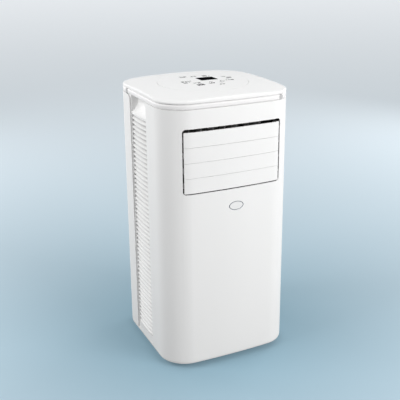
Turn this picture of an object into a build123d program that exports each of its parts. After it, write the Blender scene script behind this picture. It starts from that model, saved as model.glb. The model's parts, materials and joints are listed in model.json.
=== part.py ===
"""Portable air conditioner on casters: rounded white cabinet, louvred sides, front air outlet.

Frame: millimetres, +Z up, origin on the floor under the middle of the cabinet.
The front faces -Y, the right-hand side (seen from the front) faces +X.
"""
from build123d import *
from math import asin, atan2, cos, degrees, hypot, radians, sin, sqrt
import os

# Cabinet envelope
cabinet_width = 320.0
cabinet_depth = 312.0
front_corner_radius = 65.0
rear_corner_radius = 65.0
front_bow_radius = 1800.0
floor_gap = 13.0
skirt_height = 4.0
skirt_inset = 0.6
panel_height = 603.0
wall = 2.5
seam_gap = 0.6
fit_gap = 0.4
return_flange = 9.0
flange_thickness = 3.0
overcut = 1.0

# Band and crowned lid on top of the panels
band_height = 12.0
band_inset = 0.5
band_round = 4.0
band_wall = 8.0
top_plate = 4.0
lid_groove = 1.5
lid_rim = 3.5
lid_height = 15.0
lid_inset = 0.3
lid_wall = 7.0
lid_skin = 6.5
lid_edge_round = 4.0
crown_radius = 2000.0
wiring_hole = 60.0

# Control panel set into the lid
panel_radius = 105.5
panel_gap = 0.8
panel_seat = 5.0
display_width = 41.0
display_height = 23.0
display_x = 19.0
display_y = 19.0
display_ledge = 2.0
display_drop = 0.4
key_length = 17.0
key_width = 10.0
key_travel = 0.8
key_proud = 0.2
key_flange = 2.0
key_stem_radius = 2.5
key_stem_length = 2.0
key_clearance = 0.3
key_places = {
    "key_mode": (-39.0, -2.0),
    "key_power": (-20.0, -27.0),
    "key_timer": (9.0, -24.0),
    "key_up": (38.0, -17.0),
    "key_down": (26.0, -45.0),
    "key_fan": (64.0, 0.0),
}
board_width = 176.0
board_depth = 112.0
board_x = 25.0
board_thickness = 1.6
board_post = 2.0
board_post_radius = 4.0
switch_size = 6.0
plunger_radius = 1.75
plunger_height = 1.0

# Screw cover plugs in the band: bearing round the cabinet from the front, clockwise from above
plug_radius = 6.0
plug_depth = 3.0
plug_proud = 0.6
front_plug_bearing = 25.0
rear_plug_setback = 14.0

# Louvred side panels
grille_centre_y = 8.0
grille_width = 100.0
grille_setback = 3.0
grille_bow = 2.2
grille_depth = 10.5
grille_stile = 4.0
grille_sill = 18.0
slat_pitch = 11.0
slat_thickness = 2.4
slat_fall = 7.0
slat_setback = 0.8
slat_rib = 3.0
grip_height = 40.0
grip_depth = 16.0
grip_turn_depth = 13.0
grip_turn_drop = 24.0
grip_deep_drop = 10.0
grip_sill = 4.0
grip_wall = 3.0
front_shell_turn = 7.0
rear_shell_turn = 18.0
tuck_plate = 2.5
tuck_margin = 3.0

# Air outlet: opening, tilting blades and upright vanes
outlet_side = 40.0
outlet_drop = 41.0
outlet_top_gap = 7.0
outlet_foot_gap = 2.4
outlet_corner = 8.0
blade_count = 4
blade_pitch = 34.4
blade_gap = 0.6
blade_end_gap = 3.4
blade_thickness = 2.5
blade_end_plate = 3.0
pivot_setback = 24.0
pivot_radius = 3.0
pivot_boss = 5.0
crank_radius = 14.0
crank_lead = 40.0
crank_pin_radius = 2.0
crank_plate = 2.0
link_thickness = 2.5
link_half_width = 3.5
link_gap = 0.6
running_gap = 0.05
duct_wall = 3.0
duct_top_room = 8.0
duct_floor_room = 1.0
duct_rear_setback = 86.0
vane_count = 7
vane_pitch = 29.5
vane_setback = 56.0
vane_chord = 28.0
vane_thickness = 2.0
vane_pin_radius = 2.0
vane_crank = 9.0
vane_crank_pin_radius = 1.5
vane_link_width = 6.0
vane_link_thickness = 3.0
vane_foot_room = 6.0
vane_head_room = 3.0
vane_foot_height = 14.0

# Blank oval badge plate on the front
badge_width = 36.0
badge_height = 21.0
badge_side = 7.0
badge_drop = 40.5
badge_depth = 0.8
badge_proud = 0.4
badge_rim = 1.6
badge_dish = 0.3

# Base tray and casters
tray_wall = 2.5
tray_height = 45.0
caster_side_inset = 48.0
caster_end_inset = 58.0
caster_trail = 11.0
wheel_radius = 16.0
wheel_width = 15.0
wheel_bevel = 2.0
wheel_rim = 4.0
wheel_hub = 5.0
wheel_dish = 2.5
wheel_side_gap = 0.5
axle_radius = 2.5
fork_cheek = 2.5
fork_bridge = 4.0
fork_top_gap = 2.0
fork_shoulder = 3.0
shoulder_radius = 8.0
stem_radius = 4.0
stem_length = 18.0
well_margin = 1.5
well_wall = 2.5
well_roof = 3.0
axle_boss = 6.0
axle_head = 0.8

# Deck between the two air paths
deck_height = 300.0
deck_thickness = 3.0
deck_ledge = 6.0
ledge_thickness = 4.0
drip_rim = 8.0
drip_wall = 2.0
coil_seat = 5.0

# Cold side: evaporator coil, blower and scroll
cold_coil_side_room = 55.0
cold_coil_headroom = 50.0
cold_coil_setback = 41.0
coil_thickness = 30.0
coil_plate = 2.0
coil_plate_lip = 3.0
tube_radius = 3.5
tube_pitch = 42.0
bend_radius = 10.5
cold_axis_rise = 105.0
motor_room = 50.0
scroll_coil_gap = 5.0
plenum_inset = 13.0
plenum_drop = 4.0
plenum_height = 80.0

# Blower wheels and scrolls, shared by both sides
wheel_outer = 75.0
wheel_inner = 62.0
blower_width = 54.0
blower_clear = 9.0
blower_blades = 28
blower_blade_thickness = 1.6
blower_lean = 20.0
blower_plate = 2.5
hub_radius = 14.0
hub_length = 22.0
shaft_radius = 4.0
scroll_start = 82.0
scroll_step = 6.0
scroll_wall = 2.5
scroll_cutoff = 25.0
inlet_radius = 60.0
shaft_hole = 9.0
scroll_leg = 6.0
motor_radius = 40.0
cold_motor_length = 36.0
hot_motor_radius = 35.0
hot_motor_length = 22.0

# Hot side: condenser coil, blower, compressor and exhaust
hot_coil_end_room = 56.0
hot_coil_headroom = 30.0
hot_coil_inset = 33.0
hot_coil_rib = 4.0
hot_axis_drop = 142.0
hot_scroll_depth = 72.0
hot_exit = 86.0
exhaust_run = 30.0
compressor_inset = 80.0
compressor_y = -8.0
compressor_radius = 56.0
compressor_headroom = 60.0
compressor_motor_gap = 2.0
compressor_dome = 20.0
foot_circle = 60.0
foot_plate = 3.0
foot_pad = 14.0
grommet_radius = 10.0
grommet_height = 15.0
grommet_bore = 4.0
accumulator_radius = 22.0
accumulator_gap = 4.0
accumulator_rise = 63.0
accumulator_drop = 40.0
strap_height = 20.0
port_offset = 11.0
port_headroom = 82.0
port_radius = 65.0
collar_wall = 4.0
collar_length = 24.0
collar_flange = 7.0
collar_flange_thickness = 3.0
duct_flange_depth = 6.0
duct_flange_step = 1.5
grid_bar = 3.0
grid_pitch = 16.0
pipe_radius = 4.0
pipe_bend = 12.0
pipe_run_below_deck = 14.0
pipe_hole_gap = 3.0
suction_offset = 20.0

# Electrical box on the deck
box_width = 90.0
box_depth = 62.0
box_headroom = 18.0
box_x = -62.0
box_front_gap = 17.0
box_round = 6.0

# Rear panel: filter cover, drain and cord gland
filter_side = 72.0
filter_rise = 32.0
filter_drop = 50.0
filter_ledge = 6.0
filter_frame_depth = 4.5
filter_gap = 0.4
filter_border = 14.0
filter_bar_pitch = 10.0
filter_slot = 5.0
filter_notch = 12.0
mesh_depth = 2.5
mesh_border = 6.0
mesh_sheet = 0.8
mesh_rib = 3.0
drain_x = 0.0
drain_rise = 19.0
drain_bore = 6.5
drain_tube_wall = 2.5
drain_recess = 15.0
drain_cap_radius = 11.0
drain_cap_depth = 5.0
drain_stem_length = 12.0
gland_side_room = 1.0
gland_rise = 27.0
gland_radius = 9.0
gland_bore = 4.0
gland_flange = 3.0
gland_flange_depth = 2.0
gland_tail = 10.0
screw_side = 100.0
screw_radius = 2.0
screw_head_radius = 4.0
screw_head_depth = 1.4
screw_length = 14.0
screw_inset_low = 27.0
screw_inset_high = 14.0
lug_width = 16.0
lug_depth = 5.0
lug_height = 22.0

# Levels and planes worked out from the sizes above
half_width = cabinet_width / 2
half_depth = cabinet_depth / 2
panel_bottom = floor_gap + skirt_height
body_top = panel_bottom + panel_height
band_top = body_top + band_height
lid_bottom = band_top + lid_groove
lid_top = lid_bottom + lid_height
lid_ceiling = lid_top - panel_seat - lid_skin
seat_level = lid_top - panel_seat
grille_front = grille_centre_y - grille_width / 2
grille_rear = grille_centre_y + grille_width / 2
grille_face = half_width - grille_setback
grille_back = grille_face - grille_depth
tray_inset = half_width - grille_back + fit_gap
outlet_top = body_top - outlet_drop
outlet_base = outlet_top - outlet_top_gap - blade_count * blade_pitch - outlet_foot_gap
badge_rise = outlet_base - badge_drop
pivot_y = -half_depth + pivot_setback
outlet_half_width = half_width - outlet_side
blade_half = outlet_half_width - blade_end_gap
lever_start = outlet_half_width + link_gap
link_start = lever_start + crank_plate + link_gap
duct_side = link_start + link_thickness + 2 * link_gap
duct_roof = outlet_top + duct_top_room
duct_floor = outlet_base - duct_floor_room
duct_rear = -half_depth + duct_rear_setback
vane_y = -half_depth + vane_setback
vane_base = duct_floor + vane_foot_room
vane_head = duct_roof - vane_head_room
caster_x = half_width - caster_side_inset
caster_y = half_depth - caster_end_inset
axle_z = wheel_radius
fork_half = wheel_width / 2 + wheel_side_gap + fork_cheek
bridge_base = 2 * wheel_radius + fork_top_gap
bridge_top = bridge_base + fork_bridge
well_ceiling = bridge_top + fork_shoulder
well_radius = hypot(caster_trail + wheel_radius, fork_half) + well_margin
deck_top = deck_height + deck_thickness
tray_top = panel_bottom + tray_height
cold_coil_width = 2 * (half_width - cold_coil_side_room)
cold_coil_y = half_depth - cold_coil_setback
cold_coil_base = deck_top + coil_seat
cold_coil_height = body_top - cold_coil_headroom - cold_coil_base
cold_axis_z = deck_top + cold_axis_rise
cold_scroll_front = duct_rear + motor_room
cold_scroll_rear = cold_coil_y - coil_thickness / 2 - coil_plate_lip - scroll_coil_gap
cold_scroll_depth = cold_scroll_rear - cold_scroll_front
plenum_half_width = outlet_half_width - plenum_inset
plenum_top = duct_roof - plenum_drop
plenum_base = plenum_top - plenum_height
foot_level = panel_bottom + grommet_height
compressor_x = half_width - compressor_inset
compressor_top = deck_height - compressor_headroom
accumulator_base = foot_level + accumulator_rise
accumulator_top = compressor_top - accumulator_drop
hot_coil_x = hot_coil_inset - half_width
hot_coil_length = 2 * (half_depth - hot_coil_end_room)
hot_coil_height = deck_height - hot_coil_headroom - tray_top
hot_scroll_right = compressor_x - compressor_radius - compressor_motor_gap - hot_motor_length
hot_scroll_left = hot_scroll_right - hot_scroll_depth
collar_inner = half_depth - collar_length
duct_end = collar_inner - duct_flange_depth
hot_axis_y = duct_end - exhaust_run - hot_exit
hot_axis_z = deck_height - hot_axis_drop
port_x = (hot_scroll_left + hot_scroll_right) / 2 + port_offset
port_z = deck_height - port_headroom
box_y = box_front_gap + box_depth / 2 - half_depth
box_top = duct_floor - duct_wall - box_headroom
filter_half_width = half_width - filter_side
filter_base = deck_top + filter_rise
filter_top = body_top - filter_drop
drain_z = panel_bottom + drain_rise
gland_x = half_width - rear_corner_radius - gland_radius - gland_flange - gland_side_room
gland_z = panel_bottom + gland_rise
screw_x = half_width - screw_side
key_base = lid_ceiling - key_flange - key_stem_length
board_top = body_top + top_plate + board_post + board_thickness


def block(x0, x1, y0, y1, z0, z1):
    """Box between two corners."""
    middle = Pos((x0 + x1) / 2, (y0 + y1) / 2, (z0 + z1) / 2)
    return middle * Box(x1 - x0, y1 - y0, z1 - z0)


def rod_x(x0, x1, y, z, radius):
    """Cylinder along X."""
    return Pos((x0 + x1) / 2, y, z) * Rot(0, 90, 0) * Cylinder(radius, x1 - x0)


def rod_y(x, y0, y1, z, radius):
    """Cylinder along Y."""
    return Pos(x, (y0 + y1) / 2, z) * Rot(90, 0, 0) * Cylinder(radius, y1 - y0)


def rod_z(x, y, z0, z1, radius):
    """Cylinder along Z."""
    return Pos(x, y, (z0 + z1) / 2) * Cylinder(radius, z1 - z0)


def front_plane(y):
    """Sketch plane with X to the right and Z up; extrusions run towards the front."""
    return Plane(origin=(0, y, 0), x_dir=(1, 0, 0), z_dir=(0, -1, 0))


def side_plane(x):
    """Sketch plane with Y to the right and Z up; extrusions run towards +X."""
    return Plane(origin=(x, 0, 0), x_dir=(0, 1, 0), z_dir=(1, 0, 0))


def polygon_face(points):
    """Flat face through the given corners."""
    return make_face(Polyline(*points, close=True))


def bearing(centre, radius, angle):
    """Point at a bearing in degrees from the front direction, on a circle seen from above."""
    turn = radians(angle)
    return (centre[0] + radius * sin(turn), centre[1] - radius * cos(turn))


def plan_face(inset):
    """Plan outline of the cabinet, moved inward by inset: bowed front, round corners, flat back."""
    span = front_bow_radius - front_corner_radius
    front_x = half_width - front_corner_radius
    front_y = front_bow_radius - half_depth - sqrt(span**2 - front_x**2)
    rear_x = half_width - rear_corner_radius
    rear_y = half_depth - rear_corner_radius
    lean = degrees(asin(front_x / span))
    front = front_corner_radius - inset
    rear = rear_corner_radius - inset
    start = bearing((front_x, front_y), front, lean)
    middle = bearing((front_x, front_y), front, (lean + 90) / 2)
    rear_middle = bearing((rear_x, rear_y), rear, 135)
    side = half_width - inset
    back = half_depth - inset
    right = [
        ThreePointArc(start, middle, (side, front_y)),
        Line((side, front_y), (side, rear_y)),
        ThreePointArc((side, rear_y), rear_middle, (rear_x, back)),
    ]
    bow = ThreePointArc((-start[0], start[1]), (0, inset - half_depth), start)
    left = [mirror(edge, about=Plane.YZ) for edge in right]
    return make_face([bow, *right, Line((rear_x, back), (-rear_x, back)), *left])


def prism(inset, z0, z1):
    """Cabinet outline extruded between two levels."""
    return Pos(0, 0, z0) * extrude(plan_face(inset), z1 - z0)


def ring(outer, inner, z0, z1):
    """Wall that follows the cabinet outline between two insets."""
    return prism(outer, z0, z1) - prism(inner, z0, z1)


def crown_ball():
    """Large sphere whose top is the crown of the lid."""
    return Pos(0, 0, lid_top - crown_radius) * Sphere(crown_radius)


def whole_x(y0, y1, z0, z1):
    """Block right across the cabinet."""
    return block(-cabinet_width, cabinet_width, y0, y1, z0, z1)


def shell_panel(y0, y1):
    """Stretch of outer shell with a top flange and a ledge for the deck."""
    shell = ring(0, wall, panel_bottom, body_top)
    shell += ring(wall, wall + return_flange, body_top - flange_thickness, body_top)
    shell += ring(wall, wall + deck_ledge, deck_height - ledge_thickness, deck_height)
    return shell & whole_x(y0, y1, 0, lid_top)


def seam_flange(y0, y1):
    """Upright stiffening flanges at the two side edges of a shell panel."""
    flange = block(grille_back, half_width - wall, y0, y1, panel_bottom, body_top)
    return [flange, mirror(flange, about=Plane.YZ)]


def badge_disc(grow, outer, inner):
    """Oval disc that follows the bowed front between two insets."""
    oval = Pos(badge_side, badge_rise) * Ellipse(badge_width / 2 + grow, badge_height / 2 + grow)
    disc = extrude(front_plane(0) * oval, cabinet_depth)
    return disc & ring(outer, inner, badge_rise - badge_height, badge_rise + badge_height)


def badge_plate():
    """Blank oval plate with a raised rim."""
    plate = badge_disc(0, -badge_proud, badge_depth)
    return plate - badge_disc(-badge_rim, -badge_proud - overcut, badge_dish - badge_proud)


def outlet_window():
    """Round-cornered opening for the air outlet."""
    middle = Pos(0, (outlet_base + outlet_top) / 2)
    size = RectangleRounded(2 * outlet_half_width, outlet_top - outlet_base, outlet_corner)
    return extrude(front_plane(pivot_y) * middle * size, cabinet_depth)


def corner_cut(edge, turn):
    """Tool that rounds the top corner of a shell panel beside the grille and clears the tuck plate behind."""
    away = 1 if edge > grille_centre_y else -1
    reach = turn + tuck_margin + fit_gap
    ends = sorted((edge, edge + away * turn))
    corner = block(0, cabinet_width, ends[0], ends[1], body_top - turn, body_top)
    corner -= rod_x(0, cabinet_width, edge + away * turn, body_top - turn, turn)
    ends = sorted((edge, edge + away * reach))
    tool = corner + block(0, half_width - wall, ends[0], ends[1], body_top - reach, body_top)
    return [tool, mirror(tool, about=Plane.YZ)]


def front_panel():
    edge = grille_front - seam_gap / 2
    shell = shell_panel(-cabinet_depth, edge) + seam_flange(edge - flange_thickness, edge)
    shell -= outlet_window()
    shell -= corner_cut(edge, front_shell_turn)
    return shell - badge_disc(fit_gap / 4, -overcut, badge_depth)


def grip_profile(offset):
    """Side view of the hand recess: a concave scoop under the band."""
    high = body_top + overcut
    low = (grille_face + grille_bow + overcut, body_top - grip_height)
    turn = (grille_face - grip_turn_depth, body_top - grip_turn_drop)
    deep = (grille_face - grip_depth, body_top - grip_deep_drop)
    scoop = [
        ThreePointArc(low, turn, deep),
        Line(deep, (deep[0], high)),
        Line((deep[0], high), (low[0], high)),
        Line((low[0], high), low),
    ]
    face = make_face(scoop)
    return face if offset == 0 else offset_face(face, offset)


def offset_face(face, amount):
    """Face grown outward by an even amount."""
    return offset(face, amount=amount, kind=Kind.INTERSECTION)


def side_extrusion(face, y0, y1):
    """Extrude a side-view face (X right, Z up) between two depths."""
    return extrude(front_plane(y1) * face, y1 - y0)


def bowed_plan(y0, y1, inset):
    """Plan of the bowed side panel: straight back, arched outer face moved inward by inset."""
    face = grille_face - inset
    return make_face([
        Line((grille_back, y0), (grille_back, y1)),
        Line((grille_back, y1), (face, y1)),
        ThreePointArc((face, y1), (face + grille_bow, (y0 + y1) / 2), (face, y0)),
        Line((face, y0), (grille_back, y0)),
    ])


def upright(face, z0, z1):
    """Plan face extruded between two levels."""
    return Pos(0, 0, z0) * extrude(face, z1 - z0)


def tuck_plates(y0, y1):
    """Plates behind the rounded top corners of the front and rear shells."""
    front = block(grille_face - tuck_plate, grille_face, y0 - front_shell_turn - tuck_margin, y0,
                  body_top - front_shell_turn - tuck_margin, body_top)
    rear = block(grille_face - tuck_plate, grille_face, y1, y1 + rear_shell_turn + tuck_margin,
                 body_top - rear_shell_turn - tuck_margin, body_top)
    return [front, rear]


def side_grille():
    """Right-hand louvred panel, bowed outward, with the hand recess at its top."""
    y0 = grille_front + seam_gap / 2
    y1 = grille_rear - seam_gap / 2
    grip_base = body_top - grip_height
    window_top = grip_base - grip_sill
    window_base = panel_bottom + grille_sill
    outline = upright(bowed_plan(y0, y1, 0), panel_bottom, body_top)
    panel = outline - block(0, half_width, y0 + grille_stile, y1 - grille_stile, window_base, window_top)
    panel += tuck_plates(y0, y1)
    lip = half_width
    rise = slat_fall * (lip - grille_back) / grille_depth
    slats = []
    for row in range(int((window_top - window_base) / slat_pitch)):
        z = window_top - (row + 1) * slat_pitch
        profile = polygon_face([
            (grille_back, z + slat_fall),
            (lip, z + slat_fall - rise),
            (lip, z + slat_fall - rise + slat_thickness),
            (grille_back, z + slat_fall + slat_thickness),
        ])
        slats.append(side_extrusion(profile, y0 + grille_stile, y1 - grille_stile))
    slats = [Compound(children=slats) & upright(bowed_plan(y0, y1, slat_setback), window_base, window_top)]
    for third in (1, 2):
        y = y0 + third * (y1 - y0) / 3
        slats.append(block(grille_back, grille_back + slat_rib, y - slat_rib / 2, y + slat_rib / 2,
                           window_base, window_top))
    panel += slats
    scoop = side_extrusion(grip_profile(grip_wall), y0, y1)
    panel += scoop & block(0, grille_face, y0, y1, window_top, body_top)
    return panel - side_extrusion(grip_profile(0), y0 + grille_stile, y1 - grille_stile)


def screw_places():
    """Rear screw axes: X and Z of each."""
    low = panel_bottom + screw_inset_low
    high = body_top - screw_inset_high
    return [(x, z) for x in (-screw_x, screw_x) for z in (low, high)]


def rear_panel():
    edge = grille_rear + seam_gap / 2
    shell = shell_panel(edge, cabinet_depth) + seam_flange(edge, edge + flange_thickness)
    shell -= corner_cut(edge, rear_shell_turn)
    inner = half_depth - wall
    frame_front = inner - filter_frame_depth
    shell += block(-filter_half_width - filter_ledge, filter_half_width + filter_ledge, frame_front,
                   inner, filter_base - filter_ledge, filter_top + filter_ledge)
    shell -= block(-filter_half_width + filter_ledge, filter_half_width - filter_ledge, 0,
                   cabinet_depth, filter_base + filter_ledge, filter_top - filter_ledge)
    shell -= block(-filter_half_width, filter_half_width, inner, cabinet_depth, filter_base, filter_top)
    shell -= rod_y(port_x, 0, cabinet_depth, port_z, port_radius + collar_wall + fit_gap)
    shell -= rod_y(drain_x, 0, cabinet_depth, drain_z, drain_recess)
    shell -= rod_y(gland_x, 0, cabinet_depth, gland_z, gland_radius + running_gap)
    for x, z in screw_places():
        shell -= rod_y(x, 0, cabinet_depth, z, screw_radius + running_gap)
        shell -= rod_y(x, half_depth - screw_head_depth, cabinet_depth, z,
                       screw_head_radius + running_gap)
    return shell


def top_frame():
    """Rounded band with the plate that closes the cabinet and roofs the hand recesses."""
    band = prism(band_inset, body_top, band_top)
    rims = band.edges().group_by(Axis.Z)
    band = fillet(rims[0] + rims[-1], band_round)
    inner = band_inset + band_wall
    band -= prism(inner, body_top + top_plate, band_top)
    band += ring(inner - lid_rim, inner, band_top - band_round, lid_bottom)
    band -= Pos(-half_width / 2, 0, body_top) * Box(wiring_hole, wiring_hole, band_top)
    for x, y in board_corners():
        band += rod_z(x, y, body_top + top_plate, body_top + top_plate + board_post, board_post_radius)
    for x in (-screw_x, screw_x):
        rear = half_depth - wall - fit_gap
        lug = block(x - lug_width / 2, x + lug_width / 2, rear - return_flange - lug_depth,
                    rear - return_flange, body_top - lug_height, body_top)
        band += lug
    for x, z in screw_places():
        band -= rod_y(x, 0, half_depth, z, screw_radius + running_gap)
    for tool in plug_discs(0):
        band -= tool
    return band


def board_corners():
    """Centres of the four posts under the control board."""
    dx = board_width / 2 - board_post_radius
    dy = board_depth / 2 - board_post_radius
    return [(board_x + sx * dx, sy * dy) for sx in (-1, 1) for sy in (-1, 1)]


def plug_discs(proud):
    """Round plugs square to the band, one on the front right corner, one near the rear left."""
    z = (body_top + band_top) / 2
    span = front_bow_radius - front_corner_radius
    corner_x = half_width - front_corner_radius
    corner_y = front_bow_radius - half_depth - sqrt(span**2 - corner_x**2)
    spot = bearing((corner_x, corner_y), front_corner_radius - band_inset, front_plug_bearing)
    turn = radians(front_plug_bearing)
    out = (sin(turn), -cos(turn), 0)
    rear_y = half_depth - rear_corner_radius - rear_plug_setback
    places = [((spot[0], spot[1], z), out), ((-half_width + band_inset, rear_y, z), (-1, 0, 0))]
    discs = []
    for origin, normal in places:
        plane = Plane(origin=origin, z_dir=normal)
        disc = Pos(0, 0, (proud - plug_depth) / 2) * Cylinder(plug_radius - running_gap * bool(proud),
                                                              plug_depth + proud)
        discs.append(plane * disc)
    return discs


def band_plugs():
    return Compound(children=plug_discs(plug_proud))


def stadium(x, y, z0, z1, grow):
    """Upright prism with the outline of a key, grown by a margin."""
    face = SlotOverall(key_length + 2 * grow, key_width + 2 * grow)
    return Pos(x, y, z0) * extrude(face, z1 - z0)


def top_cover():
    """Crowned lid with the round seat of the control panel."""
    lid = prism(lid_inset, lid_bottom, lid_top + overcut) & crown_ball()
    lid = fillet(lid.faces().sort_by(Axis.Z)[-1].edges(), lid_edge_round)
    lid -= prism(lid_wall, lid_bottom, lid_ceiling)
    lid -= rod_z(0, 0, seat_level, lid_top + overcut, panel_radius + panel_gap)
    opening_x = display_width / 2 - display_ledge
    opening_y = display_height / 2 - display_ledge
    lid -= block(display_x - opening_x, display_x + opening_x, display_y - opening_y,
                 display_y + opening_y, lid_bottom, lid_top)
    for x, y in key_places.values():
        lid -= stadium(x, y, lid_bottom, lid_top, key_clearance)
    return lid


def control_panel():
    """Crowned round facia with openings for the display and the keys."""
    panel = rod_z(0, 0, seat_level, lid_top + overcut, panel_radius) & crown_ball()
    dx = display_width / 2 + fit_gap / 2
    dy = display_height / 2 + fit_gap / 2
    panel -= block(display_x - dx, display_x + dx, display_y - dy, display_y + dy, lid_bottom, lid_top)
    for x, y in key_places.values():
        panel -= stadium(x, y, lid_bottom, lid_top + overcut, key_clearance)
    return panel


def display_window():
    dx = display_width / 2
    dy = display_height / 2
    window = block(display_x - dx, display_x + dx, display_y - dy, display_y + dy, seat_level, lid_top)
    return window & (Pos(0, 0, -display_drop) * crown_ball())


def key(x, y):
    """Push key with a retaining flange under the lid and a stem above its switch."""
    cap = stadium(x, y, lid_ceiling, lid_top + overcut, 0) & (Pos(0, 0, key_proud) * crown_ball())
    cap += stadium(x, y, lid_ceiling - key_flange, lid_ceiling, key_flange)
    return cap + rod_z(x, y, key_base, lid_ceiling - key_flange, key_stem_radius)


def control_board():
    """Circuit board on four posts, with a switch under every key and the display module."""
    base = board_top - board_thickness
    board = block(board_x - board_width / 2, board_x + board_width / 2, -board_depth / 2,
                  board_depth / 2, base, board_top)
    plunger_top = key_base - key_travel - 2 * running_gap
    switch = switch_size / 2
    for x, y in key_places.values():
        board += block(x - switch, x + switch, y - switch, y + switch, board_top,
                       plunger_top - plunger_height)
        board += rod_z(x, y, plunger_top - plunger_height, plunger_top, plunger_radius)
    dx = display_width / 2 - display_ledge - fit_gap
    dy = display_height / 2 - display_ledge - fit_gap
    return board + block(display_x - dx, display_x + dx, display_y - dy, display_y + dy, board_top,
                         lid_ceiling)


def blade_levels():
    """Pivot heights of the outlet blades, from the lowest up."""
    return [outlet_base + outlet_foot_gap + (row + 0.5) * blade_pitch for row in range(blade_count)]


def crank_place(z):
    """Rest position of a blade's crank pin, as Y and Z."""
    lead = radians(crank_lead)
    return (pivot_y + crank_radius * cos(lead), z + crank_radius * sin(lead))


def end_web(z):
    """Side view of the web that carries a blade on its pivot."""
    reach = -half_depth + blade_thickness
    half = blade_pitch / 2 - blade_gap
    web = polygon_face([
        (reach - front_corner_radius, z - half / 2),
        (pivot_y, z - pivot_boss),
        (pivot_y, z + pivot_boss),
        (reach - front_corner_radius, z + half / 2),
    ])
    return web + Pos(pivot_y, z) * Circle(pivot_boss)


def louvre_blade(z):
    """Blade flush with the bowed front, with end webs, pivots and a crank at its right end."""
    half = (blade_pitch - blade_gap) / 2
    face = ring(0, blade_thickness, z - half, z + half)
    blade = face & block(-blade_half, blade_half, -cabinet_depth, pivot_y, z - half, z + half)
    inside = prism(blade_thickness, z - half, z + half)
    for x in (-blade_half, blade_half - blade_end_plate):
        web = extrude(side_plane(x) * end_web(z), blade_end_plate)
        blade += web & inside
    bearing_end = duct_side + duct_wall
    blade += rod_x(-bearing_end, -blade_half, pivot_y, z, pivot_radius)
    blade += rod_x(blade_half, bearing_end, pivot_y, z, pivot_radius)
    pin_y, pin_z = crank_place(z)
    lever = Pos((pivot_y + pin_y) / 2, (z + pin_z) / 2) * Rot(0, 0, crank_lead)
    lever *= SlotOverall(crank_radius + 2 * pivot_boss, 2 * pivot_boss)
    blade += extrude(side_plane(lever_start) * lever, crank_plate)
    pin_end = link_start + link_thickness + link_gap
    return blade + rod_x(lever_start, pin_end, pin_y, pin_z, crank_pin_radius)


def louvre_link():
    """Bar that ties the four blade cranks together."""
    pins = [crank_place(z) for z in blade_levels()]
    low = pins[0][1]
    high = pins[-1][1]
    y = pins[0][0]
    bar = Pos(y, (low + high) / 2) * Rot(0, 0, 90)
    bar *= SlotOverall(high - low + 2 * link_half_width, 2 * link_half_width)
    for pin_y, pin_z in pins:
        bar -= Pos(pin_y, pin_z) * Circle(crank_pin_radius + running_gap)
    return extrude(side_plane(link_start) * bar, link_thickness)


def vane_places():
    """X of each upright vane, from the left."""
    middle = (vane_count - 1) / 2
    return [(row - middle) * vane_pitch for row in range(vane_count)]


def outlet_frame():
    """Duct behind the outlet that carries the blade and vane bearings."""
    outer = duct_side + duct_wall
    duct = block(-outer, outer, -cabinet_depth, duct_rear, duct_floor - duct_wall, duct_roof + duct_wall)
    duct -= block(-duct_side, duct_side, -cabinet_depth, duct_rear - duct_wall, duct_floor, duct_roof)
    lip = plenum_half_width - scroll_wall
    duct -= block(-lip, lip, -cabinet_depth, cabinet_depth, plenum_base + scroll_wall,
                  plenum_top - scroll_wall)
    duct &= prism(wall + fit_gap, duct_floor - duct_wall, duct_roof + duct_wall)
    for z in blade_levels():
        duct -= rod_x(-cabinet_width, cabinet_width, pivot_y, z, pivot_radius + running_gap)
    for x in vane_places():
        duct -= rod_z(x, vane_y, 0, lid_top, vane_pin_radius + running_gap)
    return duct


def vane(x):
    """Upright vane with pins top and bottom and a crank pin at its foot."""
    profile = Pos(x, vane_y) * Rot(0, 0, 90) * SlotOverall(vane_chord, vane_thickness)
    blade = Pos(0, 0, vane_base) * extrude(profile, vane_head - vane_base)
    boss = vane_pin_radius + vane_thickness / 2
    blade += rod_z(x, vane_y, vane_base, vane_head, boss)
    blade += rod_z(x, vane_y, duct_floor - duct_wall, duct_roof + duct_wall, vane_pin_radius)
    foot = vane_crank_pin_radius + vane_thickness / 2
    blade += rod_z(x, vane_y + vane_crank, vane_base, vane_base + vane_foot_height, foot)
    return blade + rod_z(x, vane_y + vane_crank, duct_floor + link_gap, vane_base, vane_crank_pin_radius)


def vane_link():
    """Bar under the vanes that turns them together."""
    places = vane_places()
    length = places[-1] - places[0] + vane_link_width
    bar = Pos(0, vane_y + vane_crank) * SlotOverall(length, vane_link_width)
    for x in places:
        bar -= Pos(x, vane_y + vane_crank) * Circle(vane_crank_pin_radius + running_gap)
    return Pos(0, 0, vane_base - vane_link_thickness - link_gap) * extrude(bar, vane_link_thickness)


def caster_centres():
    """Swivel axis of each caster."""
    return {
        "front_left": (-caster_x, -caster_y),
        "front_right": (caster_x, -caster_y),
        "rear_left": (-caster_x, caster_y),
        "rear_right": (caster_x, caster_y),
    }


def foot_centres():
    """Axes of the three compressor feet."""
    turns = [radians(90 + 120 * foot) for foot in range(3)]
    reach = foot_circle
    return [(compressor_x + reach * cos(turn), compressor_y + reach * sin(turn)) for turn in turns]


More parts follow.
